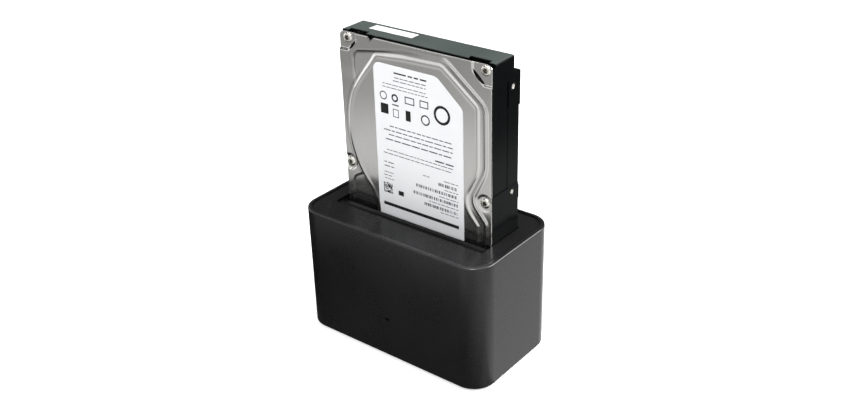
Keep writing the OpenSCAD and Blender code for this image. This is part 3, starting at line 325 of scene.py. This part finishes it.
def signedDistance(x, z, outline):  # to an outline, below zero inside
    tiny = 1e-12  # in place of a zero to divide by
    near = np.full(x.shape, np.inf)
    inside = np.zeros(x.shape, bool)
    for (ax, az), (bx, bz) in zip(outline, outline[1:] + outline[:1]):
        ex, ez = bx - ax, bz - az
        t = np.clip(((x - ax) * ex + (z - az) * ez) / max(ex * ex + ez * ez, tiny), 0, 1)
        near = np.minimum(near, (x - ax - t * ex) ** 2 + (z - az - t * ez) ** 2)
        crosses = (az > z) != (bz > z)
        inside ^= crosses & (x < ex * (z - az) / (ez if ez else tiny) + ax)
    return np.where(inside, -1, 1) * np.sqrt(near)


def softMin(a, b, r):  # joins two distances with a fillet
    h = np.maximum(r - np.abs(a - b), 0) / r
    return np.minimum(a, b) - h * h * r / 4


def ease(t):  # smooth step from 0 to 1
    t = np.clip(t, 0, 1)
    return t * t * (3 - 2 * t)


# Cover pressed from sheet: a raised face, a channel round it, dimples under the screws and two slits
# All in mm: outlines are x, z and the corner's radius, and depths run back from the crest of the beads
coverSheet = {
    "width": 101.6, "length": 147.0, "sideInset": 0.3, "lowInset": 1.0, "farInset": 0.4, "cornerR": 3,
    "gridMm": 0.4, "edgeBand": 1.0, "edgeLines": (0, 0.06, 0.14, 0.24, 0.38),  # finer where the edge rolls
    "back": 1.65, "leastRim": 0.1, "edgeRoll": 0.2, "rollShare": 0.8, "smooth": 50,
    "face": 0.2, "bead": 0.15, "beadIn": 2.2, "diskFillet": 6, "contourFillet": 2,
    "outerBead": 0.42, "outerIn": 1.0, "outerOut": 1.9,
    "wall": (1.6, 0.9, 0.9), "outerWall": (1.2, 0.6, 0.6),  # width, and what the valley and the middle add
    "border": (0.5, -0.12, 0.32, -0.35),  # depth at the left, and what the middle, right and valley add
    "channel": (0.85, -0.47, 0.17, -0.22),
    "leftX": (65, 30), "midX": (25, 55), "rightX": (68, 78), "valleyZ": (118, 130), "swellZ": (132, 136),
    "disk": (58.3, 93.2, 54.0),
    "shoulder": [(14, 122, 1), (45, 110, 1), (60, 142, 1), (27.5, 142, 1)],
    "contour": [(0, 10, 4), (93.1, 10, 4), (93.4, 55.0, 1.5), (83.4, 67.0, 13), (93.5, 86.2, 20),
                (93.6, 123.0, 5), (70.5, 141.0, 5), (45, 140.2, 20), (25.6, 138.5, 5), (0, 104.4, 1)],
    "ground": [(22.5, 8, 2), (101.6, 8, 2), (101.6, 66, 2), (22.5, 66, 2)],
    "channelOut": [(10.2, 100, 1), (50, 100, 1), (50, 42, 1), (98.2, 42, 1), (98.2, 57.5, 5),
                   (88.7, 68.6, 7), (98.0, 87.6, 20), (98.0, 123.9, 9), (72.6, 143.8, 4), (44, 142.9, 12),
                   (10.4, 136.9, 4)],
    "lowPocket": [(4.9, 5, 3), (97.4, 5, 3), (97.4, 56, 3), (60, 70, 2), (24, 70, 2), (4.9, 60, 6)],
    "farLine": (0.85, -0.2, 0.8), "farSwell": 0.9,  # painted shade lines: strength, place, half width
    "leftLine": (0.4, 1.9, 1.0),
    "rightOuter": [(0.5, -1.5, 1.0), (0.4, 0.8, 0.6)], "rightInner": (0.4, -0.8, 0.6),
    "borderShade": (0.16, 1.0, 2.0),  # painted shade on the border: strength, from, to
    "screws": [(6.2, 143.4), (97.6, 143.4), (3.2, 68.6), (97.2, 69.4), (6.2, 4.5), (97.6, 4.5)],
    "holeR": 1.3, "dimple": [0, 0, 4.6, 4.6, 5.0, 5.0], "dimpleFloor": 1.22, "dimpleWall": 1.6,
    "tabs": [[(-9, 136.6, 1), (6.4, 136.6, 2.5), (12.4, 142.8, 2.5), (12.4, 160, 1), (-9, 160, 1)],
             [(110, 135.2, 1), (110, 160, 1), (89.6, 160, 1), (89.6, 142.0, 2.5), (96.6, 135.2, 2.5)]],
    "slits": [[(12.2, 142.6), (10.4, 140.2), (7.2, 137.4)], [(90.0, 142.4), (92.6, 139.0), (97.0, 135.8)]],
    "slitHalf": 0.95, "slitTaper": (0.35, 2.6), "slitSteps": 13,
    "notch": (22.5, 5.0, 2.6),
}


def gridLines(low, high, s):  # lines across the sheet, closer together along its two edges
    fine = np.array(s["edgeLines"])
    count = round((high - low - 2 * s["edgeBand"]) / s["gridMm"])
    plain = np.linspace(low + s["edgeBand"], high - s["edgeBand"], count + 1)
    return np.concatenate([low + fine, plain, (high - fine)[::-1]])


def pressCover(s):
    hair = 1e-4  # keeps the grid's own border inside
    x0, x1 = s["sideInset"], s["width"] - s["sideInset"]
    z0, z1 = s["lowInset"], s["length"] - s["farInset"]
    x, z = np.meshgrid(gridLines(x0, x1, s), gridLines(z0, z1, s), indexing="ij")

    def toOutline(corners):
        return signedDistance(x, z, roundOutline(corners))

    def zone(along, key):  # runs from 0 to 1 between two places
        start, end = s[key]
        return ease((along - start) / (end - start))

    def line(distance, strength, at, half):  # a painted shade line along a press step
        return strength * ease(1 - np.abs(distance - at) / half)

    rim = toOutline([(a, b, s["cornerR"]) for a, b in ((x0, z0), (x1, z0), (x1, z1), (x0, z1))]) - hair
    diskX, diskZ, diskR = s["disk"]
    face = np.hypot(x - diskX, z - diskZ) - diskR
    face = softMin(face, toOutline(s["ground"]), s["diskFillet"])
    face = np.minimum(face, toOutline(s["shoulder"]))
    face = -softMin(-face, -toOutline(s["contour"]), s["contourFillet"])
    pocket = np.minimum(toOutline(s["channelOut"]), toOutline(s["lowPocket"]))
    left, mid, right = [zone(x, key) for key in ("leftX", "midX", "rightX")]
    far, swell = [zone(z, key) for key in ("valleyZ", "swellZ")]
    # At the far left the border stands high above the channel, at the right it is low and beaded
    valley = (1 - mid) * far
    wall, outer = [s[k][0] + s[k][1] * valley + s[k][2] * mid * (1 - right) for k in ("wall", "outerWall")]
    border, channel = [s[k][0] + s[k][1] * mid + s[k][2] * right + s[k][3] * valley
                       for k in ("border", "channel")]
    depth = channel + (border - channel) * ease(0.5 + pocket / outer)
    fall = np.where(pocket < 0, -pocket / s["outerIn"], pocket / s["outerOut"])
    depth -= s["outerBead"] * right * ease(1 - fall)
    raised = s["face"] - s["bead"] * ease(1 + (face + wall / 2) / s["beadIn"])
    depth += (raised - depth) * ease(0.5 - face / wall)

    # Painted shade: dark lines beside the press steps and a darker border, one value per point
    strength, at, half = s["farLine"]
    paintedShade = left * far * line(pocket, strength, at, half + s["farSwell"] * swell)
    paintedShade += left * (1 - far) * line(face, *s["leftLine"])
    paintedShade += right * (sum(line(pocket, *step) for step in s["rightOuter"]) + line(face, *s["rightInner"]))
    strength, start, end = s["borderShade"]  # painted shade: the border's colour is darker than the face's
    paintedShade = np.maximum(paintedShade, strength * ease((np.minimum(pocket, face) - start) / (end - start)))

    seats = [np.hypot(x - sx, z - sz) - r for (sx, sz), r in zip(s["screws"], s["dimple"]) if r]
    seats += [toOutline(tab) for tab in s["tabs"]]
    for seat in seats:
        depth += (s["dimpleFloor"] - depth) * ease(0.5 - seat / s["dimpleWall"])
    edge = rim
    thin, belly = s["slitTaper"]
    for slit in s["slits"]:  # crescents, thinner towards their ends
        cuts = []
        for t in np.linspace(0, 1, s["slitSteps"]):
            ax, az = [(1 - t) ** 2 * a + 2 * t * (1 - t) * b + t * t * c for a, b, c in zip(*slit)]
            cuts.append(np.hypot(x - ax, z - az) - s["slitHalf"] * (thin + belly * t * (1 - t)))
        edge = np.maximum(edge, -np.min(cuts, axis=0))
    notchX, notchWide, notchHigh = s["notch"]
    foot = z1 - notchHigh
    flank = np.abs(x - notchX) - notchWide / 2 * (z - foot) / notchHigh
    edge = np.maximum(edge, -np.maximum(flank, foot - z))
    for sx, sz in s["screws"]:
        edge = np.maximum(edge, s["holeR"] - np.hypot(x - sx, z - sz))
    roll = np.clip(s["edgeRoll"] + rim, 0, s["edgeRoll"])
    depth += s["edgeRoll"] - np.sqrt(s["edgeRoll"] ** 2 - s["rollShare"] * roll ** 2)
    depth = np.minimum(depth, s["back"] - s["leastRim"])
    vertices, faces, used, paintedShading = [], [], {}, []

    def corner(key, i, j, k, m):  # a grid point, or where the edge crosses between two of them
        if key not in used:
            t = 0 if (i, j) == (k, m) else edge[i, j] / (edge[i, j] - edge[k, m])
            used[key] = len(vertices)
            vertices.append(onDrive(*[a[i, j] + t * (a[k, m] - a[i, j]) for a in (x, depth, z)]))
            paintedShading.append(paintedShade[i, j])
        return used[key]

    inside = edge < 0
    for i in range(x.shape[0] - 1):
        for j in range(x.shape[1] - 1):
            ring = [(i, j), (i, j + 1), (i + 1, j + 1), (i + 1, j)]
            state = [inside[p] for p in ring]
            if not any(state):
                continue
            loop = []
            for k in range(4):
                p, q = ring[k], ring[(k + 1) % 4]
                if state[k]:
                    loop.append(corner(p, *p, *p))
                if state[k] != state[(k + 1) % 4]:
                    loop.append(corner((min(p, q), max(p, q)), *min(p, q), *max(p, q)))
            if len(loop) > 2:
                faces.append(loop)
    cover = addPiece("pressedCover", "drive", coverSteel, vertices, faces)
    cover.data.attributes.new("paintedShade", "FLOAT", "POINT").data.foreach_set("value", paintedShading)
    sheet = bmesh.new()
    sheet.from_mesh(cover.data)
    skirt = bmesh.ops.extrude_edge_only(sheet, edges=[e for e in sheet.edges if e.is_boundary])
    for v in skirt["geom"]:
        if isinstance(v, bmesh.types.BMVert):
            v.co.y = driveOrigin.y + s["back"] * mm
    bmesh.ops.recalc_face_normals(sheet, faces=sheet.faces)
    sheet.to_mesh(cover.data)
    sheet.free()
    cover.data.shade_smooth()
    cover.data.set_sharp_from_angle(angle=math.radians(s["smooth"]))
    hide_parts("drive_cover")
    print("pressed cover:", len(cover.data.polygons), "faces")


pressCover(coverSheet)

# Screws with a six-lobe recess, seated in the cover's dimples, as rings of depth and radius in mm
lobeScrew = {
    "turns": 72, "lobes": 6, "lobeR": 1.35, "lobe": 0.18, "recessShadeFrom": 1.4,
    "recess": [(2.5, 0.08), (1.4, 0.92), (0.32, 1.0), (0.3, 1.06)],  # radius as a share of the lobed one
    "head": [(0.33, 1.75), (0.44, 2.2), (0.62, 2.6), (0.9, 2.85), (1.2, 2.85)],
    "shank": [(1.2, 1.15), (5.65, 1.15)],
}


def lobeScrews(s, places):
    vertices, faces, recessShade = [], [], []
    turns = s["turns"]
    steps = [(*ring, True) for ring in s["recess"]] + [(*ring, False) for ring in s["head"] + s["shank"]]
    for x, z in places:
        rings = []
        for depth, radius, lobed in steps:
            rings.append([len(vertices) + k for k in range(turns)])
            for k in range(turns):
                a = 2 * math.pi * k / turns
                r = radius * (s["lobeR"] + s["lobe"] * math.cos(s["lobes"] * a)) if lobed else radius
                vertices.append(onDrive(x + r * math.cos(a), depth, z + r * math.sin(a)))
            # painted shade: lobed rings deep in the recess are marked dark
            recessShade += [1.0 if lobed and depth >= s["recessShadeFrom"] else 0.0] * turns
        faces.append(rings[0])
        faces.append(rings[-1][::-1])
        for a, b in zip(rings, rings[1:]):
            faces += [(a[k], b[k], b[(k + 1) % turns], a[(k + 1) % turns]) for k in range(turns)]
    piece = addPiece("coverLobeScrews", "drive", zincSteel, vertices, faces)
    piece.data.attributes.new("paintedShade", "FLOAT", "POINT").data.foreach_set("value", recessShade)
    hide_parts("drive_cover_screws")
    print("cover screws:", len(places))


lobeScrews(lobeScrew, coverSheet["screws"])

# Tapped holes: bright turned threads inside the drive's screw holes, in mm
tappedHole = {
    "outerR": 1.58, "crestR": 1.3, "pitch": 0.79, "depth": 4.6, "firstThread": 0.35, "turns": 32,
    "smooth": 20, "driveThick": 26.1, "sideBack": 6.35, "sideZ": [28.5, 70.1, 130.1],
    "baseSunk": 0.6, "baseInset": 3.2, "baseZ": [41.3, 117.5],
}


def tappedHoles(s):
    vertices, faces = [], []
    width, thick, turns = coverSheet["width"], s["driveThick"], s["turns"]
    holes = [((side * width, thick - s["sideBack"], z), (1 - 2 * side, 0, 0))
             for side in (0, 1) for z in s["sideZ"]]
    holes += [((x, thick - s["baseSunk"], z), (0, -1, 0))
              for x in (s["baseInset"], width - s["baseInset"]) for z in s["baseZ"]]
    count = int(s["depth"] / s["pitch"] * 2)
    for mouth, way in holes:
        way = Vector(way)
        u = way.orthogonal().normalized()
        v = way.cross(u)
        rings = []
        for i in range(count + 1):
            r = s["outerR"] if i % 2 == 0 else s["crestR"]
            at = Vector(mouth) + way * (s["firstThread"] + i * s["pitch"] / 2)
            rings.append([len(vertices) + k for k in range(turns)])
            for k in range(turns):
                a = 2 * math.pi * k / turns
                vertices.append(onDrive(*(at + (u * math.cos(a) + v * math.sin(a)) * r)))
        for a, b in zip(rings, rings[1:]):
            faces += [(a[k], a[(k + 1) % turns], b[(k + 1) % turns], b[k]) for k in range(turns)]
        faces.append(rings[-1])
    addPiece("tappedHoles", "drive", nickelSteel, vertices, faces, s["smooth"])
    print("tapped holes:", len(holes))


tappedHoles(tappedHole)

# Generic print on the label, in mm: a rule, bar codes, a data square, rings, blocks, frames, rows of dashes
labelPrint = {
    "face": 0.13, "seed": 7, "rule": (27.5, 80.5, 48.9, 50.9),
    "codes": [(67.0, 80.3, 71.6, 73.4), (51.5, 80.3, 66.8, 68.6), (49.5, 80.3, 62.0, 63.8),
              (57.0, 80.3, 57.0, 58.8)],
    "bars": (0.25, 0.25, 0.5, 0.75), "codeEnd": 0.8,  # widths of bars and gaps, room left at a code's end
    "square": (28.0, 57.0, 6.4, 14), "cellShare": 0.55,  # left, foot, size, cells, and the share in black
    "rows": [  # left, right, top, rows, step, height
        (36.5, 60.5, 131.4, 1, 2.6, 1.7), (36.5, 60.0, 128.2, 2, 1.9, 0.9), (28.0, 61.0, 123.6, 2, 1.9, 0.8),
        (29.5, 77.0, 99.4, 3, 2.6, 1.1), (29.0, 77.0, 91.4, 1, 2.6, 1.3), (64.0, 77.5, 87.0, 1, 2.6, 1.5),
        (28.5, 77.0, 84.6, 2, 2.2, 0.85), (29.0, 36.0, 77.0, 2, 2.4, 1.1), (28.5, 35.5, 70.6, 3, 2.0, 0.8),
        (56.0, 61.0, 75.6, 1, 2.0, 0.9), (70.0, 80.3, 75.8, 1, 2.0, 0.8), (71.0, 80.3, 70.6, 1, 2.0, 0.8),
        (66.0, 80.3, 65.8, 1, 2.0, 0.8), (60.0, 80.3, 61.0, 1, 2.0, 0.8), (68.0, 80.3, 56.2, 1, 2.0, 0.8)],
    "rowStart": 0.1, "dash": (1.6, 5.0), "dashHigh": 0.5, "dashGap": 0.7,  # shares of the row or its height
    "rings": [(30.6, 115.8, 2.5, 0.6), (38.6, 115.8, 2.3, 1.0), (70.3, 113.2, 5.4, 1.5),
              (59.2, 107.8, 3.0, 0.8)],
    "ringSteps": 48,
    "blocks": [(28.4, 33.8, 105.4, 111.2), (36.6, 41.2, 111.4, 112.1), (45.8, 49.2, 104.4, 110.4),
               (38.6, 42.4, 57.6, 60.4)],
    "frames": [(45.5, 52.0, 114.2, 118.4, 0.6), (55.6, 61.4, 114.4, 118.6, 0.6),
               (37.0, 41.0, 104.6, 109.4, 0.45)],
}


def printLabel(s):
    dice = random.Random(s["seed"])
    vertices, faces = [], []

    def mark(*corners):
        faces.append(list(range(len(vertices), len(vertices) + len(corners))))
        vertices.extend(onDrive(x, s["face"], z) for x, z in corners)

    def bar(x0, x1, z0, z1):
        mark((x0, z0), (x1, z0), (x1, z1), (x0, z1))

    bar(*s["rule"])
    for x0, x1, z0, z1 in s["codes"]:
        x = x0
        while x < x1 - s["codeEnd"]:
            wide = dice.choice(s["bars"])
            bar(x, x + wide, z0, z1)
            x += wide + dice.choice(s["bars"])
    x0, z0, size, cells = s["square"]
    cell = size / cells
    for i in range(cells):
        for j in range(cells):
            if i == 0 or j == 0 or dice.random() < s["cellShare"]:
                bar(x0 + i * cell, x0 + (i + 1) * cell, z0 + j * cell, z0 + (j + 1) * cell)
    for x0, x1, top, rows, step, high in s["rows"]:
        for row in range(rows):
            x = x0 + dice.uniform(0, s["rowStart"]) * (x1 - x0)
            low = top - row * step - high
            while x < x1 - high:
                wide = min(high * dice.uniform(*s["dash"]), x1 - x)
                bar(x, x + wide, low, low + high * s["dashHigh"])
                x += wide + high * s["dashGap"]
    turn = [2 * math.pi * k / s["ringSteps"] for k in range(s["ringSteps"] + 1)]
    for x, z, r, wide in s["rings"]:
        for a, b in zip(turn, turn[1:]):
            quad = ((a, r), (b, r), (b, r - wide), (a, r - wide))
            mark(*[(x + q * math.cos(t), z + q * math.sin(t)) for t, q in quad])
    for block in s["blocks"]:
        bar(*block)
    for x0, x1, z0, z1, wide in s["frames"]:
        bar(x0, x1, z0, z0 + wide)
        bar(x0, x1, z1 - wide, z1)
        bar(x0, x0 + wide, z0, z1)
        bar(x1 - wide, x1, z0, z1)
    addPiece("labelPrint", "drive", inkBlack, vertices, faces)
    print("label print:", len(faces), "marks")


printLabel(labelPrint)

# Small parts on the drive's board, seen from the back, in mm
boardParts = {
    "boardBack": 25.0, "seed": 3, "smooth": 25,
    "chips": [(30, 38, 13, 0.9), (62, 42, 9, 0.9), (80, 30, 7, 0.8), (48, 24, 6, 0.8)],  # x, z, size, height
    "chipEdge": 0.15, "chipClear": 1.8,
    "leadPitch": 0.9, "lead": (0.4, 0.9, 0.2), "leadOut": 0.4, "leadEdge": 0.05,  # width, length, height
    "pads": 46, "area": (14, 88, 18, 60), "padSize": (1.9, 1.1, 0.45), "padEdge": 0.08, "padReach": 1.2,
    "padClear": 0.9, "lyingShare": 0.6, "bodyShare": 0.6, "solderHigh": 0.9,
}


def roundedSlab(vertices, faces, x, y, z, w, h, t, edge):  # slab on the board, its outer edge broken
    start = len(vertices)
    for depth, inset in ((0, 0), (t - edge, 0), (t, edge)):
        for sx, sz in ((-1, -1), (1, -1), (1, 1), (-1, 1)):
            vertices.append(onDrive(x + sx * (w / 2 - inset), y + depth, z + sz * (h / 2 - inset)))
    for low in (start, start + 4):
        faces += [(low + i, low + 4 + i, low + 4 + (i + 1) % 4, low + (i + 1) % 4) for i in range(4)]
    faces += [(start + 8, start + 11, start + 10, start + 9), (start, start + 1, start + 2, start + 3)]


def populateBoard(s):
    dice = random.Random(s["seed"])
    chips, chipFaces, pads, padFaces, leads, leadFaces = [], [], [], [], [], []
    back, pitch, smooth = s["boardBack"], s["leadPitch"], s["smooth"]
    wide, long, high = s["lead"]
    edge = s["leadEdge"]
    for x, z, size, t in s["chips"]:
        roundedSlab(chips, chipFaces, x, back, z, size, size, t, s["chipEdge"])
        count = int(size / pitch)
        out = size / 2 + s["leadOut"]
        for k in range(count):
            along = (k + 0.5) * pitch - count * pitch / 2
            for side in (-1, 1):
                roundedSlab(leads, leadFaces, x + along, back, z + side * out, wide, long, high, edge)
                roundedSlab(leads, leadFaces, x + side * out, back, z + along, long, wide, high, edge)
    x0, x1, z0, z1 = s["area"]
    long, short, high = s["padSize"]
    layers = [(pads, padFaces, long * s["bodyShare"], high), (leads, leadFaces, long, high * s["solderHigh"])]
    taken = [(x, z, size / 2 + s["chipClear"]) for x, z, size, t in s["chips"]]
    while len(taken) < len(s["chips"]) + s["pads"]:
        x, z = dice.uniform(x0, x1), dice.uniform(z0, z1)
        if all(max(abs(x - a), abs(z - b)) > r + s["padClear"] for a, b, r in taken):
            lying = dice.random() < s["lyingShare"]
            for vertices, faces, length, t in layers:
                w, h = (length, short) if lying else (short, length)
                roundedSlab(vertices, faces, x, back, z, w, h, t, s["padEdge"])
            taken.append((x, z, s["padReach"]))
    addPiece("driveBoardChips", "drive", chipEpoxy, chips, chipFaces, smooth)
    addPiece("driveBoardParts", "drive", sleevePvc, pads, padFaces, smooth)
    addPiece("driveBoardSolder", "drive", nickelSteel, leads, leadFaces, smooth)
    print("drive board parts:", len(taken))


populateBoard(boardParts)

# Studio, in metres: pale floor and world that read as white behind the object, soft boxes at the right,
# above, at the front left and behind, and cards that only reflections show
studio = {
    "floorSize": 6.0, "floor": "#e6e6e6", "worldLevel": 0.3,
    "floorGlow": (0.6, 1.6, 0.45, 0.75),  # from, to and the glow at each, more away from the lamps
    "boxes": [  # place, aim, size, watts
        ((0.9, 0.65, 0.5), (0.0, 0.0, 0.06), 0.8, 24.0), ((0.1, 0.2, 1.3), (0.0, 0.0, 0.1), 1.0, 11.0),
        ((-0.5, -1.1, 0.9), (0.0, 0.0, 0.13), 0.9, 15.0), ((0.35, 1.1, 0.55), (0.0, 0.0, 0.12), 0.6, 9.0)],
    "darkCards": [  # place, turn in degrees, size: two on the floor and one leaning at the front left
        ((-0.22, -0.335, 0.0004), (0, 0, 0), (1.04, 0.63)),
        ((-0.408, 0.2315, 0.0004), (0, 0, 0), (0.684, 0.537)),
        ((-0.472, -0.605, 0.57), (58.5, 0, -38), (1.0, 0.44))],
    "cardDark": "#0a0a0a", "cardPale": "#dcdcdc",
    "patches": [  # pale places on the dark cards, each a product of fades: axis, from, to, tone at each
        [("Y", -0.12, -0.155, 0.0, 1.0), ("X", -0.23, -0.31, 1.0, 0.55), ("Y", -0.3, -0.235, 0.54, 1.0)],
        [("Y", -0.2, -0.15, 0.0, 1.0), ("X", -0.27, -0.32, 0.0, 1.3)],
        [("Y", -0.12, -0.155, 0.0, 1.0), ("X", -0.2, -0.04, 0.5, 1.3)],
        [("X", -0.1, -0.04, 0.0, 0.12)],
        [("X", 0.04, 0.18, 0.0, 1.4)]],
    "patchTop": (0.01, 0.02),  # the leaning card stays dark
    "plainCards": [  # place, turn, size, colour, strength: the last makes the glints on edges
        ((0.1372, 0.383, 0.0004), (0, 0, 0), (0.1458, 0.834), "#ffffff", 1.0),
        ((0.5372, 0.383, 0.0004), (0, 0, 0), (0.6542, 0.834), "#101010", 1.0),
        ((-0.4, 0.7, 0.5), (90, 0, 0), (1.8, 1.0), "#5a5a5a", 1.0),
        ((-0.3, -1.05, 0.0004), (0, 0, 0), (1.8, 0.8), "#dadada", 1.0),
        ((0.41, -0.55, 0.85), (40, 0, 35), (0.2, 0.2), "#ffffff", 80.0)],
}


def seenDirectly(tree):  # 1 for the camera, reflections and glass, 0 for light that falls on the object
    rays = addNode(tree, "LightPath").outputs
    seen = rays["Is Camera Ray"]
    for kind in ("Is Glossy Ray", "Is Transmission Ray"):
        seen = addNode(tree, "Math", {0: seen, 1: rays[kind]}, operation="MAXIMUM").outputs[0]
    return seen


def patchedCard(s):  # dark card with the pale patches
    card, tree, shader, _ = newMaterial("flagCard", Base_Color=(0, 0, 0, 1), Roughness=0.9,
                                        Specular_IOR_Level=0.0, Emission_Strength=1.0)
    spot = addNode(tree, "SeparateXYZ", {0: addNode(tree, "NewGeometry").outputs["Position"]}).outputs
    pale = 0.0
    for patch in s["patches"]:
        tone = 1.0
        for axis, start, end, low, high in patch:
            fade = addNode(tree, "MapRange", {"Value": spot[axis], "From Min": start, "From Max": end,
                                              "To Min": low, "To Max": high}).outputs[0]
            tone = addNode(tree, "Math", {0: tone, 1: fade}, operation="MULTIPLY").outputs[0]
        pale = addNode(tree, "Math", {0: pale, 1: tone}, operation="MAXIMUM").outputs[0]
    start, end = s["patchTop"]
    fade = addNode(tree, "MapRange", {"Value": spot["Z"], "From Min": start, "From Max": end,
                                      "To Min": 1.0, "To Max": 0.0}).outputs[0]
    pale = addNode(tree, "Math", {0: pale, 1: fade}, operation="MULTIPLY").outputs[0]
    colour = addNode(tree, "Mix", {0: pale, mixA: hexColour(s["cardDark"]), mixB: hexColour(s["cardPale"])},
                     data_type="RGBA", clamp_factor=False)
    tree.links.new(colour.outputs[mixOut], shader.inputs["Emission Color"])
    return card


def plainCard(code, strength):
    return newMaterial("plainCard", Base_Color=(0, 0, 0, 1), Roughness=0.9, Specular_IOR_Level=0.0,
                       Emission_Color=hexColour(code), Emission_Strength=strength)[0]


def lightStudio(s):
    bpy.ops.mesh.primitive_plane_add(size=s["floorSize"], location=(0, 0, 0))
    floor = bpy.context.object
    floor.name = "floor"
    paper, tree, shader, place = newMaterial("paleFloorPaper", Base_Color=hexColour(s["floor"]),
                                             Roughness=0.9, Specular_IOR_Level=0.0,
                                             Emission_Color=(1, 1, 1, 1))
    away = addNode(tree, "VectorMath", {0: place}, operation="LENGTH").outputs["Value"]
    start, end, low, high = s["floorGlow"]
    fill = addNode(tree, "MapRange", {"Value": away, "From Min": start, "From Max": end,
                                      "To Min": low, "To Max": high}).outputs[0]
    glow = addNode(tree, "Math", {0: seenDirectly(tree), 1: fill}, operation="MULTIPLY")
    tree.links.new(glow.outputs[0], shader.inputs["Emission Strength"])
    floor.data.materials.append(paper)
    world = bpy.data.worlds.new("studioWorld")
    bpy.context.scene.world = world
    world.use_nodes = True
    tree = world.node_tree
    back = tree.nodes["Background"]
    back.inputs["Color"].default_value = (1, 1, 1, 1)
    level = addNode(tree, "MapRange", {"Value": seenDirectly(tree), "To Min": s["worldLevel"], "To Max": 1.0})
    tree.links.new(level.outputs[0], back.inputs["Strength"])
    patched = patchedCard(s)
    cards = [(*card, patched) for card in s["darkCards"]]
    cards += [(*card, plainCard(code, strength)) for *card, code, strength in s["plainCards"]]
    for i, (at, turn, size, material) in enumerate(cards):
        bpy.ops.mesh.primitive_plane_add(size=1, location=at, rotation=[math.radians(a) for a in turn])
        flag = bpy.context.object
        flag.name = f"flagCard{i}"
        flag.scale = (*size, 1)
        flag.data.materials.append(material)
        flag.visible_camera = False
        flag.visible_diffuse = False
        flag.visible_shadow = False
    for i, (at, aim, size, power) in enumerate(s["boxes"]):
        lamp = bpy.data.lights.new(f"softBox{i}", "AREA")
        lamp.shape = "SQUARE"
        lamp.size = size
        lamp.energy = power
        box = bpy.data.objects.new(f"softBox{i}", lamp)
        box.location = at
        box.rotation_euler = (Vector(aim) - Vector(at)).to_track_quat("-Z", "Y").to_euler()
        bpy.context.collection.objects.link(box)
    print("studio: floor, world,", len(cards), "cards and", len(s["boxes"]), "soft boxes")


lightStudio(studio)

# Camera fitted to edges in the photograph: place, lens and sensor in mm, turn in degrees
photoCamera = {"place": (334.473, -412.726, 360.699), "turn": (62.398, 1.442, 38.06),
               "lens": 44.91, "sensor": 36}
lens = bpy.data.cameras.new("photoCamera")
lens.sensor_width = photoCamera["sensor"]
lens.lens = photoCamera["lens"]
camera = bpy.data.objects.new("photoCamera", lens)
camera.location = Vector(photoCamera["place"]) * mm
camera.rotation_euler = Euler([math.radians(a) for a in photoCamera["turn"]])
bpy.context.collection.objects.link(camera)
bpy.context.scene.camera = camera
bpy.context.scene.view_settings.view_transform = "Standard"
print("camera: lens", photoCamera["lens"], "mm")
